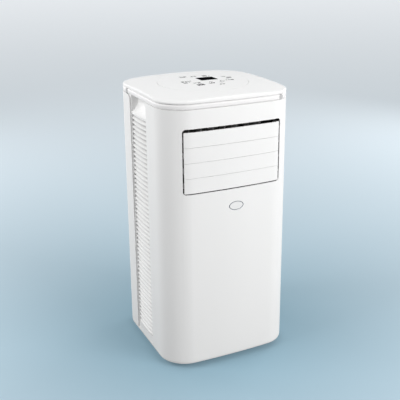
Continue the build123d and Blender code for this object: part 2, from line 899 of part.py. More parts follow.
def base_pan():
    """Moulded base: skirt flange, condensate tray, caster wells, coil ribs and drain spout."""
    pan = prism(skirt_inset, floor_gap, panel_bottom)
    pan += ring(tray_inset, tray_inset + tray_wall, panel_bottom, tray_top)
    for y in (-hot_coil_length / 4, hot_coil_length / 4):
        pan += block(hot_coil_x - coil_thickness / 2, hot_coil_x + coil_thickness / 2, y - hot_coil_rib / 2,
                     y + hot_coil_rib / 2, panel_bottom, tray_top)
    for x, y in caster_centres().values():
        pan += rod_z(x, y, floor_gap, well_ceiling + well_roof, well_radius + well_wall)
        pan += rod_z(x, y, well_ceiling, bridge_top + fork_shoulder + stem_length, 2 * stem_radius)
    for x, y in caster_centres().values():
        pan -= rod_z(x, y, 0, well_ceiling, well_radius)
        pan -= rod_z(x, y, 0, lid_top, stem_radius + running_gap)
    tray_rear = half_depth - tray_inset - tray_wall
    spout_end = half_depth - drain_cap_depth - fit_gap
    pan += rod_y(drain_x, tray_rear, spout_end, drain_z, drain_bore + drain_tube_wall)
    pan -= rod_y(drain_x, tray_rear - overcut, spout_end + overcut, drain_z, drain_bore)
    for x, z in screw_places()[::2]:
        lug = block(x - lug_width / 2, x + lug_width / 2, tray_rear, half_depth - wall - fit_gap,
                    panel_bottom, z + lug_width / 2)
        pan += lug
        pan -= rod_y(x, tray_rear - overcut, half_depth, z, screw_radius + running_gap)
    return pan


def caster_fork():
    """Swivelling fork with its stem and riveted axle, its swivel axis on Z."""
    inner = fork_half - fork_cheek
    rear = caster_trail + axle_boss
    front = -shoulder_radius
    cheek = polygon_face([
        (front, bridge_top),
        (front, bridge_base),
        (caster_trail - axle_boss / 2, axle_z - axle_boss / 2),
        (caster_trail + axle_boss / 2, axle_z - axle_boss / 2),
        (rear, bridge_base),
        (rear, bridge_top),
    ])
    cheek += Pos(caster_trail, axle_z) * Circle(axle_boss)
    fork = block(-fork_half, fork_half, front, rear, bridge_base, bridge_top)
    for start in (-fork_half, inner):
        fork += extrude(side_plane(start) * cheek, fork_cheek)
    fork += rod_z(0, 0, bridge_top, well_ceiling, shoulder_radius)
    fork += rod_z(0, 0, well_ceiling, well_ceiling + stem_length - running_gap, stem_radius)
    return fork + rod_x(-fork_half - axle_head, fork_half + axle_head, caster_trail, axle_z, axle_radius)


def caster_wheel():
    """Wheel with bevelled tread edges, dished sides and a running bore."""
    half = wheel_width / 2
    bore = axle_radius + running_gap
    rim = wheel_radius - wheel_rim
    side = [
        (bore, half),
        (wheel_hub, half),
        (wheel_hub, half - wheel_dish),
        (rim, half - wheel_dish),
        (rim, half),
        (wheel_radius - wheel_bevel, half),
        (wheel_radius, half - wheel_bevel),
    ]
    profile = polygon_face(side + [(radius, -height) for radius, height in reversed(side)])
    wheel = revolve(Plane.XZ * profile, Axis.Z)
    return Pos(0, caster_trail, axle_z) * Rot(0, 90, 0) * wheel


def deck():
    """Shelf between the two air paths, with the drip pan under the evaporator."""
    edge = wall + fit_gap
    shelf = prism(edge, deck_height, deck_top)
    side = block(grille_back - fit_gap, half_width, grille_front - fit_gap - flange_thickness,
                 grille_rear + fit_gap + flange_thickness, 0, lid_top)
    shelf -= [side, mirror(side, about=Plane.YZ)]
    dx = cold_coil_width / 2 + coil_plate_lip + drip_wall
    dy = coil_thickness / 2 + coil_plate_lip + drip_wall
    pan = block(-dx - drip_wall, dx + drip_wall, cold_coil_y - dy - drip_wall, cold_coil_y + dy + drip_wall,
                deck_top, deck_top + drip_rim)
    pan -= block(-dx, dx, cold_coil_y - dy, cold_coil_y + dy, deck_top, deck_top + drip_rim)
    shelf += pan
    for x in (-cold_coil_width / 4, cold_coil_width / 4):
        shelf += block(x - drip_wall, x + drip_wall, cold_coil_y - dy, cold_coil_y + dy, deck_top,
                       cold_coil_base)
    for x, y in pipe_holes():
        shelf -= rod_z(x, y, deck_height, deck_top + drip_rim, pipe_radius + pipe_hole_gap)
    return shelf


def accumulator_y():
    return compressor_y + compressor_radius + accumulator_gap + accumulator_radius


def liquid_line_y():
    return hot_coil_length / 2 + bend_radius + tube_radius + pipe_radius + pipe_hole_gap


def pipe_holes():
    """Where the pipes pass the deck."""
    return [(compressor_x, accumulator_y()), (hot_coil_x, liquid_line_y())]


def u_bend(radius):
    """Half ring of tube that bulges towards +X in its own frame."""
    ends = RadiusArc((0, -radius), (0, radius), -radius)
    return sweep(Plane(origin=ends @ 0, z_dir=ends % 0) * Circle(tube_radius), path=ends)


def coil(length, height):
    """Fin block with end plates and return bends, centred, tubes along X, standing on Z = 0."""
    half = length / 2
    fins = block(-half + coil_plate, half - coil_plate, -coil_thickness / 2, coil_thickness / 2, 0, height)
    reach = coil_thickness / 2 + coil_plate_lip
    for start in (-half, half - coil_plate):
        fins += block(start, start + coil_plate, -reach, reach, 0, height)
    bend = Rot(90, 0, 0) * u_bend(bend_radius)
    bends = []
    for row in range(int((height - tube_pitch) / tube_pitch)):
        z = (row + 1) * tube_pitch
        bends.append(Pos(half, 0, z) * bend)
        bends.append(Pos(-half, 0, z) * Rot(0, 0, 180) * bend)
    return fins + bends


def evaporator_coil():
    return Pos(0, cold_coil_y, cold_coil_base) * coil(cold_coil_width, cold_coil_height)


def condenser_coil():
    return Pos(hot_coil_x, 0, tray_top) * Rot(0, 0, 90) * coil(hot_coil_length, hot_coil_height)


def scroll_face(grow, exit_reach):
    """Blower scroll in its own plane: four arcs that widen by a step, and the discharge neck."""
    radii = [scroll_start + grow + quarter * scroll_step for quarter in range(4)]
    centres = [(0, 0), (0, -scroll_step), (scroll_step, -scroll_step), (scroll_step, 0)]
    arcs = []
    for quarter, (radius, centre) in enumerate(zip(radii, centres)):
        angles = [radians(90 * quarter + part) for part in (0, 45, 90)]
        points = [(centre[0] + radius * cos(turn), centre[1] + radius * sin(turn)) for turn in angles]
        arcs.append(ThreePointArc(*points))
    spiral = make_face([*arcs, Line(arcs[-1] @ 1, arcs[0] @ 0)])
    left = scroll_cutoff - grow
    right = scroll_step + radii[-1]
    neck = Pos((left + right) / 2, exit_reach / 2) * Rectangle(right - left, exit_reach)
    return spiral + neck


def cold_scroll():
    """Evaporator blower housing that lifts the air into the plenum behind the outlet."""
    plane = Plane(origin=(0, cold_scroll_rear, cold_axis_z), x_dir=(1, 0, 0), z_dir=(0, -1, 0))
    reach = plenum_base - cold_axis_z + scroll_wall
    body = extrude(plane * scroll_face(scroll_wall, reach), cold_scroll_depth)
    neck_right = scroll_step + scroll_start + 3 * scroll_step + scroll_wall
    body += block(-plenum_half_width, neck_right, duct_rear, cold_scroll_rear, plenum_base, plenum_top)
    inside = Plane(origin=(0, cold_scroll_rear - scroll_wall, cold_axis_z), x_dir=(1, 0, 0),
                   z_dir=(0, -1, 0))
    body -= extrude(inside * scroll_face(0, reach + scroll_wall), cold_scroll_depth - 2 * scroll_wall)
    body -= block(-plenum_half_width + scroll_wall, neck_right - scroll_wall, duct_rear - overcut,
                  cold_scroll_rear - scroll_wall, plenum_base + scroll_wall, plenum_top - scroll_wall)
    body -= rod_y(0, cold_scroll_rear - 2 * scroll_wall, cold_scroll_rear + overcut, cold_axis_z,
                  inlet_radius)
    body -= rod_y(0, cold_scroll_front - overcut, cold_scroll_front + 2 * scroll_wall, cold_axis_z,
                  shaft_hole)
    for x in (-scroll_start / 2, scroll_start / 2):
        foot = block(x - scroll_leg, x + scroll_leg, cold_scroll_front, cold_scroll_rear, deck_top,
                     cold_axis_z - scroll_start / 2)
        body += foot - extrude(plane * scroll_face(0, reach), cold_scroll_depth)
    return body


def hot_plane(x):
    """Plane across the condenser blower: its X is up, its Y points to the rear."""
    return Plane(origin=(x, hot_axis_y, hot_axis_z), x_dir=(0, 0, 1), z_dir=(-1, 0, 0))


def hot_scroll():
    """Condenser blower housing that blows to the rear."""
    body = extrude(hot_plane(hot_scroll_right) * scroll_face(scroll_wall, hot_exit), hot_scroll_depth)
    inside = extrude(hot_plane(hot_scroll_right - scroll_wall) * scroll_face(0, hot_exit + overcut),
                     hot_scroll_depth - 2 * scroll_wall)
    for y in (hot_axis_y - scroll_start / 2, hot_axis_y + scroll_start / 2):
        body += block(hot_scroll_left, hot_scroll_right, y - scroll_leg / 2, y + scroll_leg / 2,
                      panel_bottom, hot_axis_z)
    body -= inside
    body -= rod_x(hot_scroll_left - overcut, hot_scroll_left + 2 * scroll_wall, hot_axis_y, hot_axis_z,
                  inlet_radius)
    return body - rod_x(hot_scroll_right - 2 * scroll_wall, hot_scroll_right + overcut, hot_axis_y,
                        hot_axis_z, shaft_hole)


def blower(shaft_reach):
    """Squirrel-cage wheel on Z: open end up, hub and shaft towards -Z."""
    plate = Cylinder(wheel_outer, blower_plate, align=(Align.CENTER, Align.CENTER, Align.MIN))
    rim = Pos(0, 0, blower_width - blower_plate) * plate
    rim -= rod_z(0, 0, 0, 2 * blower_width, wheel_inner)
    lean = radians(blower_lean)
    inner = (wheel_inner * cos(lean), -wheel_inner * sin(lean))
    between = (wheel_inner + wheel_outer) / 2
    middle = (between * cos(lean / 4), -between * sin(lean / 4))
    outer = (wheel_outer - blower_blade_thickness / 2, 0)
    vane_line = ThreePointArc(inner, middle, outer)
    vane_face = trace(vane_line, blower_blade_thickness)
    fan_blade = extrude(vane_face, blower_width)
    blades = [Rot(0, 0, 360 * row / blower_blades) * fan_blade for row in range(blower_blades)]
    wheel = plate + blades
    wheel += rim
    wheel += rod_z(0, 0, 0, hub_length, hub_radius)
    return wheel + rod_z(0, 0, -shaft_reach, blower_plate, shaft_radius)


def cold_blower():
    start = cold_scroll_front + scroll_wall + blower_clear
    reach = start - cold_scroll_front + cold_motor_length / 2
    return Pos(0, start, cold_axis_z) * Rot(-90, 0, 0) * blower(reach)


def hot_blower():
    start = hot_scroll_right - scroll_wall - blower_clear
    reach = hot_scroll_right - start + hot_motor_length / 2
    return Pos(start, hot_axis_y, hot_axis_z) * Rot(0, -90, 0) * blower(reach)


def motor(radius, length, shaft_reach):
    """Motor can with a bearing nose, front face on Z = 0, body towards -Z."""
    can = Pos(0, 0, -length / 2) * Cylinder(radius, length)
    can = fillet(can.edges().group_by(Axis.Z)[0], length / 6)
    return can - rod_z(0, 0, -shaft_reach - overcut, overcut, shaft_radius + running_gap)


def cold_motor():
    can = motor(motor_radius, cold_motor_length, cold_motor_length / 2)
    return Pos(0, cold_scroll_front, cold_axis_z) * Rot(-90, 0, 0) * can


def hot_motor():
    can = motor(hot_motor_radius, hot_motor_length, hot_motor_length / 2)
    return Pos(hot_scroll_right, hot_axis_y, hot_axis_z) * Rot(0, -90, 0) * can


def compressor():
    """Welded rotary compressor: domed can, foot plate and strapped suction accumulator."""
    base = foot_level
    shoulder = compressor_top - compressor_dome
    dome = (compressor_radius**2 + compressor_dome**2) / (2 * compressor_dome)
    half_turn = asin(compressor_radius / dome) / 2
    quarter = (dome * sin(half_turn), compressor_top - dome + dome * cos(half_turn))
    profile = make_face([
        Line((0, base), (compressor_radius, base)),
        Line((compressor_radius, base), (compressor_radius, shoulder)),
        ThreePointArc((compressor_radius, shoulder), quarter, (0, compressor_top)),
        Line((0, compressor_top), (0, base)),
    ])
    can = Pos(compressor_x, compressor_y) * revolve(Plane.XZ * profile, Axis.Z)
    for x, y in foot_centres():
        turn = degrees(atan2(y - compressor_y, x - compressor_x))
        arm = Pos((x + compressor_x) / 2, (y + compressor_y) / 2) * Rot(0, 0, turn)
        arm *= SlotOverall(foot_circle + foot_pad, foot_pad)
        can += Pos(0, 0, base) * extrude(arm, foot_plate)
        can -= rod_z(x, y, base - overcut, base + foot_plate + overcut, grommet_bore)
    y = accumulator_y()
    can += rod_z(compressor_x, y, accumulator_base, accumulator_top, accumulator_radius)
    strap = (accumulator_base + accumulator_top - strap_height) / 2
    half = accumulator_radius / 2
    can += block(compressor_x - half, compressor_x + half, compressor_y, y, strap, strap + strap_height)
    return can


def compressor_grommets():
    """Rubber feet under the compressor."""
    feet = []
    for x, y in foot_centres():
        foot = rod_z(x, y, panel_bottom, foot_level, grommet_radius)
        foot -= rod_z(x, y, panel_bottom - overcut, foot_level + overcut, grommet_bore)
        feet.append(foot)
    return Compound(children=feet)


def tube(points):
    """Pipe with even bends along a route of straight runs."""
    path = FilletPolyline(*points, radius=pipe_bend)
    return sweep(Plane(origin=path @ 0, z_dir=path % 0) * Circle(pipe_radius), path=path)


def refrigerant_pipes():
    """Discharge, suction and liquid lines between compressor and coils."""
    upper = deck_height - pipe_run_below_deck
    coil_top = tray_top + hot_coil_height
    discharge = tube([
        (compressor_x, compressor_y, compressor_top),
        (compressor_x, compressor_y, upper),
        (hot_coil_x, compressor_y, upper),
        (hot_coil_x, compressor_y, coil_top),
    ])
    suction_z = cold_coil_base + tube_pitch / 2
    side_x = cold_coil_width / 2 + suction_offset
    suction = tube([
        (compressor_x, accumulator_y(), accumulator_top),
        (compressor_x, accumulator_y(), suction_z),
        (side_x + pipe_bend, accumulator_y(), suction_z),
        (side_x + pipe_bend, cold_coil_y, suction_z),
        (cold_coil_width / 2, cold_coil_y, suction_z),
    ])
    liquid_y = liquid_line_y()
    liquid = tube([
        (hot_coil_x, hot_coil_length / 2, tray_top + tube_pitch / 2),
        (hot_coil_x, liquid_y, tray_top + tube_pitch / 2),
        (hot_coil_x, liquid_y, suction_z),
        (-cold_coil_width / 2, liquid_y, suction_z),
    ])
    return Compound(children=[discharge, suction, liquid])


def electrical_box():
    case = block(box_x - box_width / 2, box_x + box_width / 2, box_y - box_depth / 2, box_y + box_depth / 2,
                 deck_top, box_top)
    return fillet(case.edges().filter_by(Axis.Z), box_round)


def exhaust_duct():
    """Transition from the blower's square exit to the round port, with a finger grid at its end."""
    start = hot_axis_y + hot_exit
    low = hot_axis_z + scroll_cutoff
    high = hot_axis_z + scroll_step + scroll_start + 3 * scroll_step
    middle_x = (hot_scroll_left + hot_scroll_right) / 2
    middle_z = (low + high) / 2

    def transition(grow, y0, y1):
        mouth = Pos(middle_x, middle_z) * Rectangle(hot_scroll_depth - 2 * scroll_wall + 2 * grow,
                                                    high - low + 2 * grow)
        port = Pos(port_x, port_z) * Circle(port_radius + grow)
        return loft([front_plane(y0) * mouth, front_plane(y1) * port])

    duct = transition(scroll_wall, start, duct_end) - transition(0, start, duct_end)
    hole = port_radius + duct_flange_step
    flange = rod_y(port_x, duct_end, collar_inner, port_z, port_radius + collar_wall + collar_flange)
    flange -= rod_y(port_x, duct_end, collar_inner, port_z, hole)
    half = int(port_radius / grid_pitch)
    bars = []
    for row in range(-half, half + 1):
        x = port_x + row * grid_pitch
        bars.append(block(x - grid_bar / 2, x + grid_bar / 2, duct_end, duct_end + grid_bar, port_z - hole,
                          port_z + hole))
    grid = Compound(children=bars) & rod_y(port_x, duct_end, duct_end + grid_bar, port_z, hole + overcut)
    return duct + flange + grid


def exhaust_collar():
    """Round socket for the hose coupling, flanged against the duct."""
    outer = port_radius + collar_wall
    collar = rod_y(port_x, collar_inner, half_depth, port_z, outer)
    collar += rod_y(port_x, collar_inner, collar_inner + collar_flange_thickness, port_z,
                    outer + collar_flange)
    return collar - rod_y(port_x, 0, cabinet_depth, port_z, port_radius)


def filter_cover():
    """Slotted intake cover that pulls out of the rear panel."""
    half = filter_half_width - filter_gap
    low = filter_base + filter_gap
    high = filter_top - filter_gap
    cover = block(-half, half, half_depth - wall, half_depth, low, high)
    count = int((high - low - 2 * filter_border) / filter_bar_pitch)
    slots = []
    for row in range(count):
        z = low + filter_border + row * filter_bar_pitch
        slots.append(block(-half + filter_border, half - filter_border, 0, cabinet_depth, z, z + filter_slot))
    cover -= slots
    return cover - rod_y(0, 0, cabinet_depth, high, filter_notch)


def filter_mesh():
    """Filter frame behind the cover, with cross ribs over a thin mesh sheet."""
    half = filter_half_width - filter_ledge - filter_gap
    low = filter_base + filter_ledge + filter_gap
    high = filter_top - filter_ledge - filter_gap - filter_notch
    rear = half_depth - wall
    frame = block(-half, half, rear - mesh_depth, rear, low, high)
    frame -= block(-half + mesh_border, half - mesh_border, rear - mesh_depth, rear - mesh_sheet,
                   low + mesh_border, high - mesh_border)
    ribs = []
    for third in (1, 2):
        z = low + third * (high - low) / 3
        x = -half + third * 2 * half / 3
        ribs.append(block(-half, half, rear - mesh_depth, rear, z - mesh_rib / 2, z + mesh_rib / 2))
        ribs.append(block(x - mesh_rib / 2, x + mesh_rib / 2, rear - mesh_depth, rear, low, high))
    return frame + ribs


def drain_plug():
    """Rubber plug that seals the drain spout."""
    face = half_depth - drain_cap_depth - fit_gap
    plug = rod_y(drain_x, face, half_depth - fit_gap, drain_z, drain_cap_radius)
    return plug + rod_y(drain_x, face - drain_stem_length, face, drain_z, drain_bore - running_gap)


def cord_gland():
    """Bushing for the mains lead, flanged inside the rear panel."""
    inner = half_depth - wall
    gland = rod_y(gland_x, inner, half_depth, gland_z, gland_radius)
    gland += rod_y(gland_x, inner - gland_flange_depth, inner, gland_z, gland_radius + gland_flange)
    gland += rod_y(gland_x, inner - gland_tail, inner, gland_z, gland_radius - gland_flange)
    return gland - rod_y(gland_x, 0, cabinet_depth, gland_z, gland_bore)


def case_screws():
    """Screws that hold the rear panel to the base and the top frame."""
    screws = []
    for x, z in screw_places():
        screw = rod_y(x, half_depth - screw_head_depth, half_depth, z, screw_head_radius)
        screw += rod_y(x, half_depth - screw_length, half_depth - screw_head_depth, z, screw_radius)
        screws.append(screw)
    return Compound(children=screws)


def build_nodes():
    """Every piece of the assembly by name."""
    grille = side_grille()
    nodes = {
        "base_pan": base_pan(),
        "front_panel": front_panel(),
        "side_grille_right": grille,
        "side_grille_left": mirror(grille, about=Plane.YZ),
        "rear_panel": rear_panel(),
        "top_frame": top_frame(),
        "top_cover": top_cover(),
        "control_panel": control_panel(),
        "display_window": display_window(),
        "control_board": control_board(),
        "badge_plate": badge_plate(),
        "band_plugs": band_plugs(),
        "outlet_frame": outlet_frame(),
        "louvre_link": louvre_link(),
        "vane_link": vane_link(),
        "deck": deck(),
        "evaporator_coil": evaporator_coil(),
        "evaporator_scroll": cold_scroll(),
        "evaporator_blower": cold_blower(),
        "evaporator_motor": cold_motor(),
        "condenser_coil": condenser_coil(),
        "condenser_scroll": hot_scroll(),
        "condenser_blower": hot_blower(),
        "condenser_motor": hot_motor(),
        "compressor": compressor(),
        "compressor_grommets": compressor_grommets(),
        "refrigerant_pipes": refrigerant_pipes(),
        "electrical_box": electrical_box(),
        "exhaust_duct": exhaust_duct(),
        "exhaust_collar": exhaust_collar(),
        "filter_cover": filter_cover(),
        "filter_mesh": filter_mesh(),
        "drain_plug": drain_plug(),
        "cord_gland": cord_gland(),
        "case_screws": case_screws(),
    }
    for name, (x, y) in key_places.items():
        nodes[name] = key(x, y)
    for row, z in enumerate(blade_levels(), 1):
        nodes[f"louvre_blade_{row}"] = louvre_blade(z)
    for row, x in enumerate(vane_places(), 1):
        nodes[f"vane_{row}"] = vane(x)
    fork = caster_fork()
    wheel = caster_wheel()
    for place, (x, y) in caster_centres().items():
        nodes[f"caster_fork_{place}"] = Pos(x, y) * fork
        nodes[f"caster_wheel_{place}"] = Pos(x, y) * wheel
    return nodes


os.makedirs("parts", exist_ok=True)
for node_name, solid in build_nodes().items():
    export_step(solid, f"parts/{node_name}.step")
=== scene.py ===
"""Portable air conditioner: finishes, printed signs, studio light and camera round the fixed CAD frame.

Metres, +Z up, the front faces -Y and +X is the right-hand side seen from the front.
"""
import json
from math import cos, hypot, pi, radians, sin

import bmesh
import bpy
from mathutils import Matrix, Vector


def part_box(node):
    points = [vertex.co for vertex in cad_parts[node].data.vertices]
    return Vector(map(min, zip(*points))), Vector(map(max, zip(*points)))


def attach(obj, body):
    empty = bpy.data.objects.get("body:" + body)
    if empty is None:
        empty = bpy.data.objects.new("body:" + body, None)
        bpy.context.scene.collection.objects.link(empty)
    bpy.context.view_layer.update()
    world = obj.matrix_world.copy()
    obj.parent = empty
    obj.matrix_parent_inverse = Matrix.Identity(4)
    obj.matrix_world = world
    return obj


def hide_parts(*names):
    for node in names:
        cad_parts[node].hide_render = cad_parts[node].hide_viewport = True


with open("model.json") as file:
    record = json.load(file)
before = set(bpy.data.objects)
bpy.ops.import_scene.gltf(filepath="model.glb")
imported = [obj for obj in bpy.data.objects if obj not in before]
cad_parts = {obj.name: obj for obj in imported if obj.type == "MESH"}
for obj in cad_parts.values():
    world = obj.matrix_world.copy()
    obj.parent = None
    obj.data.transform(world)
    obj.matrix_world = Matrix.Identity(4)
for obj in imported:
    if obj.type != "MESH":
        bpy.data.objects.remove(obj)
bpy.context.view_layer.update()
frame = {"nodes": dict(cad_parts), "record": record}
nodes = frame["nodes"]
slot_of = {part["node"]: part["material_slot"] for part in frame["record"]["subparts"]}
bodies = frame["record"]["behaviour"]["bodies"]
body_of = {node: body for body, members in bodies.items() for node in members}
MM = 0.001

# Camera: yaw to the right of +Y, pitch down, roll, and the lens in photo pixels
PHOTO_SIZE = 400
CAMERA_PLACE = Vector((-0.7206, -1.5163, 0.9681))
CAMERA_YAW = radians(25.13)
CAMERA_PITCH = radians(18.517)
CAMERA_ROLL = radians(-0.522)
FOCAL_PIXELS = 732.5
OPTICAL_CENTRE_ROW = 180
SENSOR = 36.0


def add_camera():
    """Camera at the photo's viewpoint."""
    level = cos(CAMERA_PITCH)
    forward = Vector((sin(CAMERA_YAW) * level, cos(CAMERA_YAW) * level, -sin(CAMERA_PITCH)))
    right = Vector((cos(CAMERA_YAW), -sin(CAMERA_YAW), 0))
    up = right.cross(forward)
    turned_right = cos(CAMERA_ROLL) * right + sin(CAMERA_ROLL) * up
    turned_up = cos(CAMERA_ROLL) * up - sin(CAMERA_ROLL) * right
    data = bpy.data.cameras.new("camera")
    data.sensor_width = SENSOR
    data.lens = SENSOR * FOCAL_PIXELS / PHOTO_SIZE
    data.shift_y = (OPTICAL_CENTRE_ROW - PHOTO_SIZE / 2) / PHOTO_SIZE
    camera = bpy.data.objects.new("camera", data)
    rotation = Matrix((turned_right, turned_up, -forward)).transposed()
    camera.matrix_world = Matrix.Translation(CAMERA_PLACE) @ rotation.to_4x4()
    bpy.context.scene.collection.objects.link(camera)
    bpy.context.scene.camera = camera


# Studio: pale floor that grows paler with distance, soft lamps and an even surround
FLOOR_SIZE = 60.0
FLOOR_NEAR = (0.135, 0.245, 0.310, 1)
FLOOR_FAR = (0.860, 0.875, 0.895, 1)
FLOOR_REACH = 2.05
FLOOR_BOUNCE = (0.34, 0.34, 0.34, 1)
FLOOR_ROUGHNESS = 0.9
FLOOR_GLOSS = 0.1
GLOW_NEAR = 0.40
GLOW_FAR = 0.88
HORIZON = (0.895, 0.920, 0.945, 1)
WORLD_COLOUR = (1.0, 1.0, 1.0, 1)
WORLD_STRENGTH = 0.22
BODY_AIM = (0, 0, 0.45)
BACK_AIM = (0, 0, 0.4)
LID_AIM = (0, 0, 0.6)
LAMP_SIZE = (1.2, 1.2)
KEY_PLACE = (0.95, -1.75, 1.15)
KEY_SIZE = (1.4, 1.4)
KEY_POWER = 38.5
SIDE_PLACE = (-1.75, 0.12, 1.5)
SIDE_SIZE = (1.2, 1.4)
SIDE_POWER = 26.0
TOP_PLACE = (0.7, -0.1, 2.3)
TOP_POWER = 6.5
REAR_PLACE = (2.2, 1.0, 1.2)
REAR_POWER = 14.0
BACK_PLACE = (-1.2, 2.0, 1.1)
BACK_POWER = 13.0


def add_area(name, place, target, size, power):
    """Soft rectangular lamp that faces a point."""
    data = bpy.data.lights.new(name, "AREA")
    data.shape = "RECTANGLE"
    data.size, data.size_y = size
    data.energy = power
    lamp = bpy.data.objects.new(name, data)
    direction = Vector(target) - Vector(place)
    lamp.rotation_mode = "QUATERNION"
    lamp.rotation_quaternion = direction.to_track_quat("-Z", "Y")
    lamp.location = place
    bpy.context.scene.collection.objects.link(lamp)


def add_world():
    """Even surround that lights the object and shows a pale horizon."""
    world = bpy.data.worlds.new("studio")
    world.use_nodes = True
    tree = world.node_tree
    surround = tree.nodes["Background"]
    surround.inputs["Color"].default_value = WORLD_COLOUR
    surround.inputs["Strength"].default_value = WORLD_STRENGTH
    horizon = tree.nodes.new("ShaderNodeBackground")
    horizon.inputs["Color"].default_value = HORIZON
    mix = tree.nodes.new("ShaderNodeMixShader")
    tree.links.new(seen_rays(tree), mix.inputs[0])
    tree.links.new(surround.outputs[0], mix.inputs[1])
    tree.links.new(horizon.outputs[0], mix.inputs[2])
    tree.links.new(mix.outputs[0], tree.nodes["World Output"].inputs["Surface"])
    bpy.context.scene.world = world


def add_floor():
    mesh = bpy.data.meshes.new("floor")
    half = FLOOR_SIZE / 2
    corners = [(-half, -half, 0), (half, -half, 0), (half, half, 0), (-half, half, 0)]
    mesh.from_pydata(corners, [], [(0, 1, 2, 3)])
    mesh.materials.append(floor_material())
    floor = bpy.data.objects.new("floor", mesh)
    bpy.context.scene.collection.objects.link(floor)


def add_studio():
    bpy.context.scene.view_settings.view_transform = "Standard"
    add_world()
    add_floor()
    add_area("key_lamp", KEY_PLACE, BODY_AIM, KEY_SIZE, KEY_POWER)
    add_area("side_lamp", SIDE_PLACE, BODY_AIM, SIDE_SIZE, SIDE_POWER)
    add_area("top_lamp", TOP_PLACE, LID_AIM, LAMP_SIZE, TOP_POWER)
    add_area("rear_lamp", REAR_PLACE, BACK_AIM, LAMP_SIZE, REAR_POWER)
    add_area("back_lamp", BACK_PLACE, BACK_AIM, LAMP_SIZE, BACK_POWER)


def seen_rays(tree):
    """One for rays that show the background: camera, mirror and see-through rays."""
    path = tree.nodes.new("ShaderNodeLightPath")
    direct = combined(tree, "MAXIMUM", path.outputs["Is Camera Ray"], path.outputs["Is Glossy Ray"])
    return combined(tree, "MAXIMUM", direct, path.outputs["Is Transmission Ray"])


def floor_material():
    """Floor that looks blue-grey near the object and pale far off, and bounces neutral light."""
    material, tree, shader = new_material("floor_paint")
    coordinates = tree.nodes.new("ShaderNodeTexCoord")
    distance = tree.nodes.new("ShaderNodeVectorMath")
    distance.operation = "LENGTH"
    tree.links.new(coordinates.outputs["Object"], distance.inputs[0])
    reach = tree.nodes.new("ShaderNodeMath")
    reach.operation = "ADD"
    reach.inputs[1].default_value = FLOOR_REACH
    tree.links.new(distance.outputs["Value"], reach.inputs[0])
    spread = combined(tree, "DIVIDE", distance.outputs["Value"], reach.outputs[0])
    paint = colour_mix(tree, spread, FLOOR_NEAR, FLOOR_FAR)
    seen = seen_rays(tree)
    base = tree.nodes.new("ShaderNodeMix")
    base.data_type = "RGBA"
    base.inputs["A"].default_value = FLOOR_BOUNCE
    tree.links.new(seen, base.inputs["Factor"])
    tree.links.new(paint, base.inputs["B"])
    tree.links.new(base.outputs["Result"], shader.inputs["Base Color"])
    tree.links.new(paint, shader.inputs["Emission Color"])
    glow = ranged(tree, spread, GLOW_NEAR, GLOW_FAR)
    tree.links.new(combined(tree, "MULTIPLY", seen, glow), shader.inputs["Emission Strength"])
    shader.inputs["Roughness"].default_value = FLOOR_ROUGHNESS
    shader.inputs["Specular IOR Level"].default_value = FLOOR_GLOSS
    return material


# Node helpers for the materials
EVEN = (1, 1, 1)
SOFT_DETAIL = 2.0
FINE_DETAIL = 4.0
WAVE_PHASE_PER_SCALE = 20


def new_material(name):
    material = bpy.data.materials.new(name)
    material.use_nodes = True
    tree = material.node_tree
    return material, tree, tree.nodes["Principled BSDF"]


def colour_mix(tree, factor, low, high):
    """Colour between two, by a factor socket."""
    mix = tree.nodes.new("ShaderNodeMix")
    mix.data_type = "RGBA"
    mix.inputs["A"].default_value = low
    mix.inputs["B"].default_value = high
    tree.links.new(factor, mix.inputs["Factor"])
    return mix.outputs["Result"]


def noise(tree, scale, detail=SOFT_DETAIL, stretch=EVEN):
    """Noise over the piece's own coordinates, scale in repeats per metre."""
    coordinates = tree.nodes.new("ShaderNodeTexCoord")
    mapping = tree.nodes.new("ShaderNodeMapping")
    mapping.inputs["Scale"].default_value = stretch
    texture = tree.nodes.new("ShaderNodeTexNoise")
    texture.inputs["Scale"].default_value = scale
    texture.inputs["Detail"].default_value = detail
    tree.links.new(coordinates.outputs["Object"], mapping.inputs["Vector"])
    tree.links.new(mapping.outputs["Vector"], texture.inputs["Vector"])
    return texture.outputs["Fac"]


def bands(tree, pitch, axis):
    """Even ridges along an axis of the piece's own coordinates, pitch in metres."""
    coordinates = tree.nodes.new("ShaderNodeTexCoord")
    texture = tree.nodes.new("ShaderNodeTexWave")
    texture.bands_direction = axis
    texture.inputs["Scale"].default_value = 2 * pi / (WAVE_PHASE_PER_SCALE * pitch)
    tree.links.new(coordinates.outputs["Object"], texture.inputs["Vector"])
    return texture.outputs["Fac"]


def ranged(tree, factor, low, high, span=(0, 1)):
    """Socket mapped from a span to a range."""
    mapped = tree.nodes.new("ShaderNodeMapRange")
    mapped.inputs["From Min"].default_value, mapped.inputs["From Max"].default_value = span
    mapped.inputs["To Min"].default_value = low
    mapped.inputs["To Max"].default_value = high
    tree.links.new(factor, mapped.inputs["Value"])
    return mapped.outputs["Result"]


def combined(tree, operation, first, second):
    """Two sockets joined by a calculation."""
    node = tree.nodes.new("ShaderNodeMath")
    node.operation = operation
    tree.links.new(first, node.inputs[0])
    tree.links.new(second, node.inputs[1])
    return node.outputs[0]


def add_bump(tree, shader, height, depth):
    bump = tree.nodes.new("ShaderNodeBump")
    bump.inputs["Distance"].default_value = depth
    tree.links.new(height, bump.inputs["Height"])
    tree.links.new(bump.outputs["Normal"], shader.inputs["Normal"])


# Moulded plastic: scales in repeats per metre, depths in metres
FLOW_SCALE = 9.0
FLOW_STRETCH = (1, 1, 0.35)
FLOW_TONE = 0.03
SHEEN_SCALE = 40.0
SHEEN_SPREAD = 0.12
MOULD_GRAIN = 1400.0
MOULD_DEPTH = 0.00002
POLISHED_DEPTH = 0.0000005
PLASTIC_GLOSS = 0.5
INK_GLOSS = 0.02


